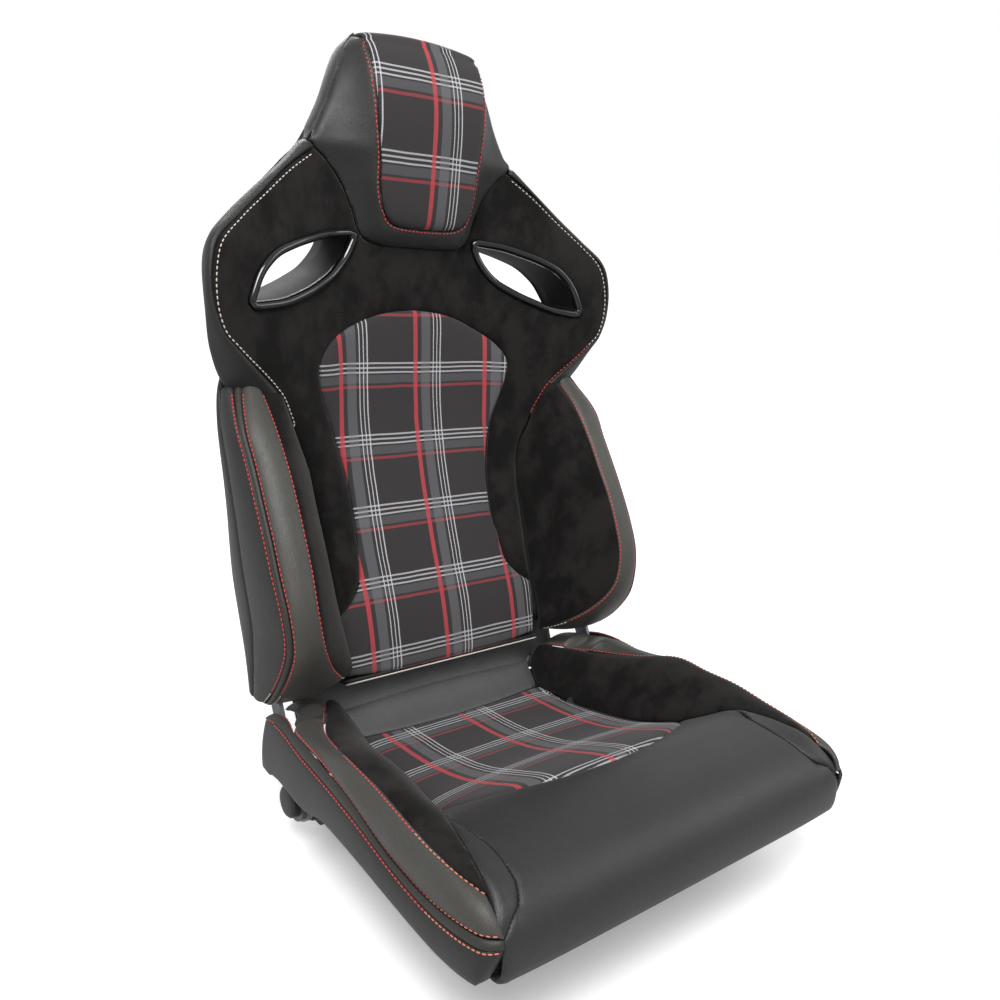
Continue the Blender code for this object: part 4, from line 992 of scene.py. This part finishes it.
SEAT_LINE = [(0.118, 0.119), (0.108, 0.1125), (0.090, 0.100), (0.071, 0.0940), (0.030, 0.0960),
             (-0.030, 0.106), (-0.090, 0.124), (-0.146, 0.150), (-0.209, 0.1765), (-0.250, 0.1800),
             (-0.285, 0.1775), (-0.308, 0.1700), (-0.325, 0.1570), (-0.3345, 0.1400), (-0.3365, 0.1220),
             (-0.3345, 0.1075), (-0.3270, 0.1000), (-0.3150, 0.0985)]
SEAT_IN = [(-0.330, 0.212, 0.1790), (-0.250, 0.205, 0.1790), (-0.200, 0.198, 0.1720),
           (-0.146, 0.177, 0.1400), (-0.1075, 0.164, 0.1240), (-0.0785, 0.157, 0.1150),
           (-0.027, 0.1505, 0.1040), (0.025, 0.145, 0.0970), (0.078, 0.137, 0.0945),
           (0.112, 0.146, 0.1150)]
SEAT_STITCH = [(-0.325, 0.2360, 0.1770), (-0.300, 0.2335, 0.1780), (-0.274, 0.2420, 0.1795),
               (-0.241, 0.2460, 0.1800), (-0.208, 0.2470, 0.1820), (-0.169, 0.2470, 0.1850),
               (-0.124, 0.2440, 0.1840), (-0.076, 0.2430, 0.1820), (-0.020, 0.2280, 0.1630),
               (0.033, 0.2120, 0.1480), (0.075, 0.1900, 0.1430), (0.112, 0.1720, 0.1380)]

seat_line = curve(SEAT_LINE, 0.002)
seat_arc = np.r_[0, np.cumsum(np.linalg.norm(np.diff(seat_line, axis=0), axis=1))]
ridge = int(np.argmax(seat_line[:, 1]))


def turn_back(u, y):
    """How far the front edge turns back towards its corners."""
    return 0.0030 * (np.clip(np.abs(u), 0, 0.25) / 0.240) ** 6 * smooth((-0.22 - y) / 0.09)


def seat_place(u, v):
    """The cushion's top and front, from x and the run of fabric along the middle."""
    a = np.abs(u)
    y, z = np.interp(v, seat_arc, seat_line[:, 0]), np.interp(v, seat_arc, seat_line[:, 1])
    inner, inner_z = table(SEAT_IN, y), table(SEAT_IN, y, 2)
    outer, outer_z = table(SEAT_STITCH, y), table(SEAT_STITCH, y, 2)
    line = np.interp(-y, -seat_line[:ridge + 1, 0], seat_line[:ridge + 1, 1])
    ahead = y < seat_line[ridge, 0]
    line = np.where(ahead, seat_line[ridge, 1], line)
    inner_z, outer_z = np.where(ahead, 0.1790, inner_z), np.where(ahead, 0.1790, outer_z)
    middle = (inner_z - line) * np.clip(a / inner, 0, 1) ** 2
    share = np.clip((a - inner) / (outer - inner), 0, 1)
    climb = (outer_z - inner_z) * np.sin(share * math.pi / 2) ** 0.9 + 0.0035 * np.sin(share * math.pi)
    fade = smooth((z - 0.118) / 0.045)
    return u, y + turn_back(u, y), z + (middle + climb) * np.where(ahead, fade, 1.0)


def run_at(y=None, z=None):
    """The run of fabric at a depth on the top, or at a height on the front."""
    if y is not None:
        return np.interp(-np.asarray(y, float), -seat_line[:, 0][:np.argmin(seat_line[:, 0])],
                         seat_arc[:np.argmin(seat_line[:, 0])])
    return np.interp(-np.asarray(z, float), -seat_line[ridge:, 1], seat_arc[ridge:])


def on_top(points):
    points = np.array(points, float)
    y = points[:, 1]
    for _ in range(4):
        y = points[:, 1] - turn_back(points[:, 0], y)
    return np.stack([points[:, 0], run_at(y=y)], 1)


def on_seat(flat):
    flat = np.array(flat, float)
    return np.stack(seat_place(flat[:, 0], flat[:, 1]), 1)


# ---------------------------------------------------------------- the cushion

INSERT_SIDE = [(0.137, 0.0785), (0.145, 0.025), (0.1505, -0.027), (0.157, -0.0785), (0.164, -0.1075),
               (0.177, -0.146)]
INSERT_FRONT = [(0.177, -0.146), (0.150, -0.170), (0.110, -0.189), (0.060, -0.203), (0, -0.209)]
strip_front = curve([(0, 0.071), (0.070, 0.0735), (0.137, 0.0785)], 0.006)
side_edge, front_edge = curve(INSERT_SIDE, 0.006), curve(INSERT_FRONT, 0.006)
seat_outline = on_top(join(strip_front, side_edge, front_edge))
seat_insert = sheet("cushion_plaid", mirror_outline(seat_outline), seat_place, step=0.008,
                    fabric=lambda u, v: (u, -v))
face_towards(seat_insert, (0, 0, 1))
tuck(seat_insert, 0.0042, 0.013, 0.0012, 0.02)
thicken(seat_insert, 0.005)
dress(seat_insert, PLAID_SEAT, "cushion", ["cushion_insert"])

strip_outline = join([(0, 0)], curve([(0, 0.0), (0.152, 0.0)], 0.006),
                     on_top(curve([(0.152, 0.118), (0.146, 0.110), (0.137, 0.0785)], 0.004)),
                     on_top(strip_front[::-1]))
rear_strip = sheet("cushion_strip", mirror_outline(strip_outline), seat_place, step=0.008)
face_towards(rear_strip, (0, 0, 1))
tuck(rear_strip, 0.0032, 0.010)
thicken(rear_strip, 0.005)
dress(rear_strip, LEATHER_PALE, "cushion", ["cushion_rear_strip"])

SUEDE_FRONT = [(0.177, -0.146), (0.190, -0.174), (0.2065, -0.205), (0.2170, -0.240), (0.2250, -0.270),
               (0.2320, -0.300)]
ARC_TOP = [(0.2065, -0.205), (0.2015, -0.228), (0.1990, -0.264), (0.2025, -0.299)]
arc_face = [on_top([ARC_TOP[-1]])[0], on_top([(0.2105, -0.3150)])[0], (0.2240, run_at(z=0.1560)),
            (0.2360, run_at(z=0.1460))]
arc = join(on_top(curve(ARC_TOP, 0.005)), curve(arc_face, 0.004))
corner_seam = curve([on_top([SUEDE_FRONT[-1]])[0], on_top([(0.2355, -0.3120)])[0], (0.2380, run_at(z=0.1570)),
                     (0.2360, run_at(z=0.1460))], 0.004)
suede_line = on_top(curve(SUEDE_FRONT, 0.005))
roll_end = curve([(0.2360, run_at(z=0.1460)), (0.2360, seat_arc[-1])], 0.006)
bottom_edge = curve([(0.2360, seat_arc[-1]), (0, seat_arc[-1])], 0.008)
meet = int(np.argmin(np.linalg.norm(suede_line - arc[0], axis=1)))
roll_outline = join(on_top(front_edge[::-1]), suede_line[:meet], arc, roll_end, bottom_edge)
front_roll = sheet("cushion_roll", mirror_outline(roll_outline), seat_place, step=0.010)
face_towards(front_roll, lambda p: p - np.array([0, -0.20, 0.06]))
tuck(front_roll, 0.0035, 0.012)
thicken(front_roll, 0.005)
dress(front_roll, LEATHER_SMOOTH, "cushion", ["cushion_front_roll"])

HEM = [(0.110, 0.073), (0.078, 0.074), (0.066, 0.080), (0.000, 0.080), (-0.055, 0.094), (-0.26, 0.0945),
       (-0.300, 0.099), (-0.325, 0.103)]
BAND_EDGE = [(0.2280, 0.108, 0.1435), (0.2280, 0.085, 0.1525), (0.2290, 0.063, 0.1580),
             (0.2400, 0.046, 0.1590), (0.2515, 0.030, 0.1580), (0.2522, -0.002, 0.1570),
             (0.2525, -0.040, 0.156), (0.2530, -0.100, 0.152), (0.2535, -0.165, 0.140),
             (0.2535, -0.222, 0.1365), (0.2535, -0.260, 0.139), (0.2530, -0.297, 0.1460),
             (0.2490, -0.3190, 0.1500), (0.2375, -0.3310, 0.1515)]
STRIP_REAR = [(0.2440, 0.096, 0.1480), (0.2445, 0.076, 0.1545), (0.2455, 0.060, 0.1580),
              (0.2485, 0.046, 0.1590)]
STRIP_LOW = [(0.2550, 0.100, 0.1420), (0.2558, 0.075, 0.1490), (0.2560, 0.045, 0.1500),
             (0.2560, 0.020, 0.1465), (0.2560, -0.004, 0.1440), (0.2562, -0.059, 0.1425),
             (0.2565, -0.1215, 0.1385), (0.2568, -0.177, 0.1320), (0.2568, -0.228, 0.1290),
             (0.2563, -0.2665, 0.1310), (0.2550, -0.302, 0.1370), (0.2500, -0.3240, 0.1415),
             (0.2375, -0.3335, 0.1435)]
cushion_lines = {}
for side, sign in SIDES:
    mirror = [sign, 1, 1]
    # the suede bolster
    stitch = curve([(x, y) for y, x, _ in SEAT_STITCH[1:]], 0.006)          # front to rear
    stitch = join([tuple(suede_line[-1])], on_top(stitch)[1:])
    rear_edge = curve([tuple(stitch[-1]), (0.158, run_at(y=0.112)), (0.146, run_at(y=0.110))], 0.005)
    suede_outline = join(suede_line, stitch, rear_edge,
                         on_top(curve([(0.146, 0.110), (0.137, 0.0785)], 0.005)), on_top(side_edge))
    bolster = sheet(f"cushion_suede_{side}", suede_outline * [sign, 1], seat_place, step=0.008)
    face_towards(bolster, (0, 0, 1))
    tuck(bolster, 0.0036, 0.011, 0.001, 0.02)
    thicken(bolster, 0.005)
    dress(bolster, SUEDE, "cushion", [f"cushion_bolster_{side}"])
    # the crescent let in between roll, suede and side
    crescent_outline = join(suede_line[meet:], corner_seam, arc[::-1])
    crescent = sheet(f"cushion_crescent_{side}", crescent_outline * [sign, 1], seat_place, step=0.007)
    face_towards(crescent, (0, -0.5, 1))
    tuck(crescent, 0.0026, 0.008)
    thicken(crescent, 0.004)
    dress(crescent, LEATHER_SMOOTH, "cushion")
    # the side's band, in olive leather whose lighter colour is painted sheen, its strip and skirt
    count = 120
    top_line = resample(on_seat(resample(stitch[::-1], count=count)), count=count) * mirror
    band_edge = curve(BAND_EDGE, count=count) * mirror
    strip_top = curve(STRIP_REAR + BAND_EDGE[4:], count=count) * mirror
    strip_low = curve(STRIP_LOW, count=count) * mirror
    hem = strip_low.copy()
    hem[:, 2] = table(sorted(HEM), strip_low[:, 1])
    hem[:, 1] = np.where(strip_low[:, 1] > 0.07, strip_low[:, 1] + 0.008, np.maximum(strip_low[:, 1], -0.319))
    out = np.array([sign, -0.25, 0.35])
    band = panel(f"cushion_band_{side}", top_line, band_edge, 0.0075, out, 20)
    strip = panel(f"cushion_double_{side}", strip_top, strip_low, 0.0012, out, 7)
    skirt = panel(f"cushion_skirt_{side}", strip_low, hem, 0.0028, out, 16)
    core = np.array([sign * 0.15, -0.10, 0.06])
    for part, sink, radius in ((band, 0.0026, 0.008), (strip, 0.0010, 0.003), (skirt, 0.0026, 0.009)):
        face_towards(part, lambda p, c=core: (p - c) * [1, 0.4, 1])
        tuck(part, sink, radius)
        thicken(part, 0.004)
    dress(band, LEATHER_OLIVE_SHEEN, "cushion")
    dress(strip, LEATHER_STRIP, "cushion")
    dress(skirt, LEATHER, "cushion", [f"cushion_side_{side}"])
    cushion_lines[side] = (top_line, strip_top, strip_low)

# ---------------------------------------------------------------- closing panels and stuffing

def ring_volume(name, rings):
    """A closed solid through rings of points."""
    rings = np.array(rings)
    n, m = rings.shape[:2]
    faces = [(i * m + j, i * m + (j + 1) % m, (i + 1) * m + (j + 1) % m, (i + 1) * m + j)
             for i in range(n - 1) for j in range(m)]
    places = np.vstack([rings.reshape(-1, 3), rings[0].mean(0), rings[-1].mean(0)])
    faces += [(n * m, (j + 1) % m, j) for j in range(m)]
    faces += [(n * m + 1, (n - 1) * m + j, (n - 1) * m + (j + 1) % m) for j in range(m)]
    made = mesh_object(name, places, faces)
    bm = bmesh.new()
    bm.from_mesh(made.data)
    bmesh.ops.recalc_face_normals(bm, faces=bm.faces)
    bm.to_mesh(made.data)
    bm.free()
    return made


# the backrest's foam, a little inside its covers and its shell, in three parts round the openings
SHOULDER_LIMIT = [(0.6965, 0.2475), (0.7245, 0.213), (0.753, 0.178), (0.778, 0.1405), (0.796, 0.132),
                  (0.8275, 0.117), (0.860, 0.104), (0.892, 0.0885), (0.906, 0.079)]    # height, half width


def back_core(name, low_x, high_x, low_z, high_z, gap):
    """A slice of the backrest's foam between two heights, kept inside its covers."""
    rings = []
    for z in np.linspace(low_z, high_z, 26):
        half = float(table(SHELL_HALF, z)) - 0.009
        if z > 0.44:
            half = min(half, float(np.interp(z, [0.440, 0.455, 0.476, 0.512, 0.542, 0.571, 0.600],
                                             [0.240, 0.182, 0.186, 0.208, 0.240, 0.262, 0.275])) - 0.005)
        if z > 0.69:
            half = min(half, float(np.interp(z, *zip(*SHOULDER_LIMIT))) - 0.010)
        x = np.linspace(max(low_x, -half), min(high_x, half), 25)
        heights = np.full_like(x, z)
        fore = front(x, heights) + gap
        back = np.maximum(shell_back(x, heights) - 0.006, fore + 0.002)
        rings.append(np.vstack([np.stack([x, fore, heights], 1), np.stack([x, back, heights], 1)[::-1]]))
    return ring_volume(name, rings)


lower_core = back_core("back_foam_lower", -0.3, 0.3, 0.176, 0.592, 0.0105)
dress(lower_core, FOAM, "backrest", ["back_foam"])
upper_core = back_core("back_foam_upper", -0.3, 0.3, 0.702, 0.902, 0.0105)
dress(upper_core, FOAM, "backrest")
neck_core = back_core("back_foam_neck", -0.072, 0.072, 0.588, 0.706, 0.0105)
dress(neck_core, FOAM, "backrest")

for side, sign in SIDES:
    rings = []
    for station in curve(np.array(STATIONS).reshape(len(STATIONS), 12), count=30):
        valley, inner, double, rear = station.reshape(4, 3)
        centre = (valley + inner + double + rear) / 4
        shape = np.array([valley, valley * 0.5 + inner * 0.5, inner, inner * 0.5 + double * 0.5, double,
                          double * 0.5 + rear * 0.5, rear, rear * 0.5 + valley * 0.5 + [0, 0.015, 0]])
        rings.append((centre + (shape - centre) * 0.88) * [sign, 1, 1])
    rings = np.array(rings)
    rings[-1] += [0, 0, 0.004]
    core = ring_volume(f"bolster_foam_{side}", rings)
    dress(core, FOAM, "backrest")

# the cushion's foam, inside its covers
rings = []
for y in np.linspace(0.1125, -0.318, 35):
    half = float(table(SEAT_STITCH, [y])[0]) - 0.006
    inner = float(table(SEAT_IN, [y])[0])
    half = half if y < 0.02 else min(half, inner + 0.018)
    x = np.linspace(-half, half, 41)
    run = np.full_like(x, float(run_at(y=y)))
    level = x if y < 0.02 else np.clip(x, -inner, inner)
    top = on_seat(np.stack([level, run], 1))[:, 2] - 0.0095
    if y < -0.312:
        top -= 0.006
    base = np.full_like(x, 0.103 if y < -0.25 else 0.090)
    base = np.minimum(base, top - 0.003)
    top -= 0.004 * smooth((y - 0.08) / 0.02)
    base = np.minimum(base, top - 0.002)
    depth = np.full_like(x, y)
    rings.append(np.vstack([np.stack([x, depth, top], 1), np.stack([x, depth, base], 1)[::-1]]))
seat_core = ring_volume("cushion_foam_block", rings)
dress(seat_core, FOAM, "cushion", ["cushion_foam"])

# cloth that closes the gap under the backrest
gusset_rows = []
for s in np.linspace(0, 1, 15):
    a = np.array([0.112, 0.1040])
    b = np.array([0.142, 0.172])
    sag = 4 * s * (1 - s) * np.array([0.005, -0.002])
    y, z = a + (b - a) * s + sag
    x = np.linspace(-0.205, 0.205, 60)
    droop = 0.0012 * np.sin(x * 95 + 2.0 * s)
    gusset_rows.append(np.stack([x, y + droop, z + droop * 0.5], 1))
gusset = loft("gusset", gusset_rows)
face_towards(gusset, (0, -1, 0.4))
thicken(gusset, 0.002)
gusset.data.materials.append(LEATHER_PALE)
shade_smooth(gusset)
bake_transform(gusset)

# the backrest's underside, in a darker copy of the leather as painted shade, and a pale piping along its
# front edge
under_edge = np.stack([np.linspace(-0.152, 0.152, 40), np.full(40, 0.1585)], 1)
under_rows = [on_front(under_edge) + [0, 0.002, -0.001]]
under_rows.append(under_rows[0] + [0, 0.012, -0.003])
under_rows.append(under_rows[0] + [0, 0.040, 0.004])
under_rows.append(under_rows[0] + [0, 0.062, 0.014])
under = loft("back_underside", under_rows)
face_towards(under, (0, 0, -1))
thicken(under, 0.003)
dress(under, LEATHER_SHADED, "backrest")

# ---------------------------------------------------------------- stitches and piping

shown = {made.name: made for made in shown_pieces()}


def skin(*starts):
    return surface_of(*[made for name, made in shown.items() if name.startswith(starts)])


def beside(line, others, distance):
    """A line moved sideways towards another, by a distance."""
    way = others - line
    way /= np.linalg.norm(way, axis=1)[:, None] + 1e-9
    return line + way * distance


def dress_threads(name, paths, onto, finish, body, pitch=STITCH_PITCH):
    """A piece of stitches along paths, with its thread."""
    return dress(stitch_row(name, paths, onto, pitch), finish, body)


# the head's plaid: a red topstitch just outside its edge
head_skin = skin("head_cover", "headrest_plaid")
edge_points = inner_edge[inner_edge[:, 1] < 0.900]
outside = grown(np.vstack([edge_points, [(-0.03, 0.70), (-0.03, 0.90)]]), 0.0030)[:len(edge_points)]
outside[-1, 0] = 0
u_line = np.vstack([outside, outside[::-1] * [-1, 1]])
u_path = np.stack([u_line[:, 0], front(u_line[:, 0], u_line[:, 1]) - 0.002, u_line[:, 1]], 1)
dress_threads("head_stitches", [u_path], head_skin, RED_THREAD, "backrest")

# the wings: pale stitches along the suede's front seam; along its lower edge, red on the left and pale
# on the right
wing_skin = skin("shoulder_cover", "wing_band")
for side, sign in SIDES:
    line = curve(FRONT_SEAM, 0.004)
    inward = grown(np.vstack([line, [(0.10, 0.46), (0.10, 0.76)]]), -0.0042)[:len(line)]
    upper = inward[(inward[:, 1] > 0.556)][2:]
    lower = inward[(inward[:, 1] <= 0.560)]
    dress_threads(f"wing_stitches_{side}", [on_front(upper * [sign, 1], 0.001)], wing_skin, PALE_THREAD,
                  "backrest", pitch=0.0062)
    dress_threads(f"wing_lower_stitches_{side}", [on_front(lower * [sign, 1], 0.001)], wing_skin,
                  RED_THREAD if sign > 0 else PALE_THREAD, "backrest")

# the backrest bolsters: one row inside, two rows along the strip
for side, sign in SIDES:
    inner, first, second = bolster_lines[side]
    bolster_skin = skin(f"bolster_suede_{side}", f"bolster_band_{side}", f"bolster_strip_{side}",
                        f"bolster_side_{side}")
    seen = slice(8, None)
    paths = [beside(inner, first, 0.0032)[seen], beside(first, inner, 0.0026)[seen],
             beside(second, first, -0.0026)[seen]]
    for label, part, finish in (("", slice(None, 74), RED_THREAD), ("low_", slice(74, None), PALE_THREAD)):
        dress_threads(f"bolster_{label}stitches_{side}", [p[part] for p in paths], bolster_skin, finish,
                      "backrest")

# the cushion: one row inside the band, two rows along the strip
for side, sign in SIDES:
    top_line, strip_top, strip_low = cushion_lines[side]
    seat_skin = skin(f"cushion_band_{side}", f"cushion_double_{side}", f"cushion_skirt_{side}",
                     f"cushion_suede_{side}")
    paths = [beside(top_line, strip_top, 0.0034)[2:-1], beside(strip_top, strip_low, -0.0024)[2:-1],
             beside(strip_low, strip_top, -0.0024)[2:-1]]
    for label, part, finish in (("", slice(None, 92), RED_THREAD),
                                ("front_", slice(91, None), ORANGE_THREAD)):
        dress_threads(f"cushion_{label}stitches_{side}", [p[part] for p in paths], seat_skin, finish,
                      "cushion")

# pale piping under the backrest's front edge
x = np.linspace(-0.150, 0.150, 60)
pipe = np.stack([x, table(BACK_LINE, np.full(60, 0.157)) + 0.0012, np.full(60, 0.1562)], 1)
dress(cord("back_piping", pipe, 0.0009), PIPING, "backrest")


# ---------------------------------------------------------------- the CAD's own pieces, and their finishes

NODE_FINISH = {"zinc": (ZINC, "zinc_steel"), "painted": (PAINTED, "painted_steel"), "arm": (ARM, "arm_steel"),
               "nylon": (NYLON, "nylon"), "foam": (FOAM, "foam"), "knob": (KNOB, "knob_plastic")}
NODE_KINDS = [("lower_rail", "zinc"), ("rail_foot", "zinc"), ("upper_rail", "zinc"),
              ("rail_glide", "nylon"), ("rail_bracket", "painted"), ("side_frame", "painted"),
              ("front_cross", "painted"), ("rear_cross", "painted"), ("seat_pan", "painted"),
              ("cushion_spring", "zinc"), ("recliner_housing", "painted"), ("release_bush", "nylon"),
              ("release_bar", "painted"), ("recliner_gear", "zinc"), ("recliner_arm", "arm"),
              ("arm_bolt", "zinc"), ("pivot_cap", "knob"), ("recline_shaft", "zinc"),
              ("recline_handwheel", "knob"), ("handwheel_cap", "knob"), ("back_frame", "painted"),
              ("back_cross", "painted"), ("lumbar_wire", "zinc"), ("back_foam", "foam"),
              ("cushion_foam", "foam")]
for name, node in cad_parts.items():
    kind = next((k for start, k in NODE_KINDS if name.startswith(start)), None)
    if kind and not node.hide_render:
        finish, slot_name = NODE_FINISH[kind]
        node.data.materials.clear()
        node.data.materials.append(finish)

# ---------------------------------------------------------------- floor, light and camera

bpy.ops.mesh.primitive_plane_add(size=120, location=(0, 0, -0.0005))
floor = bpy.context.object
floor.name = "floor"
paper = Finish("floor_paper")
grain = paper.noise(220.0, 4)
spot = paper.node("TexCoord").outputs["Object"]
reach = paper.node("VectorMath", {0: spot}, operation="LENGTH").outputs["Value"]
glow = paper.between(reach, 0.8, 2.6, 0.24, 0.62)
watched = paper.node("LightPath").outputs["Is Camera Ray"]
white = paper.mix(grain, (0.86, 0.86, 0.86), (0.90, 0.90, 0.90))
paper.set(Base_Color=paper.mix(watched, (0.42, 0.42, 0.42), white), Roughness=0.75,
          Emission_Color=(1.0, 1.0, 1.0), Emission_Strength=paper.math("MULTIPLY", glow, watched),
          Normal=paper.bump(grain, 0.0001, 0.2))
floor.data.materials.append(paper.material)

world = bpy.data.worlds.new("studio")
bpy.context.scene.world = world
world.use_nodes = True
backdrop = world.node_tree.nodes["Background"]
backdrop.inputs["Color"].default_value = (1.0, 1.0, 1.0, 1.0)
seen_by = world.node_tree.nodes.new("ShaderNodeLightPath")
strength = world.node_tree.nodes.new("ShaderNodeMapRange")
strength.inputs["To Min"].default_value, strength.inputs["To Max"].default_value = 0.60, 1.0
world.node_tree.links.new(seen_by.outputs["Is Camera Ray"], strength.inputs["Value"])
world.node_tree.links.new(strength.outputs[0], backdrop.inputs["Strength"])
bpy.context.scene.view_settings.view_transform = "Standard"


def softbox(name, place, aim, size, power):
    """A soft rectangular light."""
    light = bpy.data.lights.new(name, "AREA")
    light.shape, light.size, light.size_y, light.energy = "RECTANGLE", size[0], size[1], power
    lamp = bpy.data.objects.new(name, light)
    lamp.location = place
    lamp.rotation_euler = (Vector(aim) - Vector(place)).to_track_quat("-Z", "Y").to_euler()
    bpy.context.scene.collection.objects.link(lamp)


softbox("key", (-1.3, -1.3, 2.7), (0, 0, 0.4), (1.3, 1.3), 86)
softbox("fill", (1.9, -1.4, 1.9), (0, 0, 0.4), (1.4, 1.4), 14)
softbox("rim", (0.6, 2.0, 2.0), (0, 0.1, 0.5), (1.6, 1.2), 26)

turn, tilt, roll = math.radians(-38.37), math.radians(15.71), math.radians(4.60)
backward = Vector((math.sin(turn) * math.cos(tilt), -math.cos(turn) * math.cos(tilt), math.sin(tilt)))
level = Vector((0, 0, 1)).cross(backward).normalized()
upright = backward.cross(level)
right = level * math.cos(roll) + upright * math.sin(roll)
up = upright * math.cos(roll) - level * math.sin(roll)
camera = bpy.data.objects.new("camera", bpy.data.cameras.new("camera"))
camera.data.lens, camera.data.sensor_width = 32.49, 36.0
facing = Matrix((right, up, backward)).transposed().to_4x4()
camera.matrix_world = Matrix.Translation((-0.6341, -0.7819, 0.6850)) @ facing
bpy.context.scene.collection.objects.link(camera)
bpy.context.scene.camera = camera
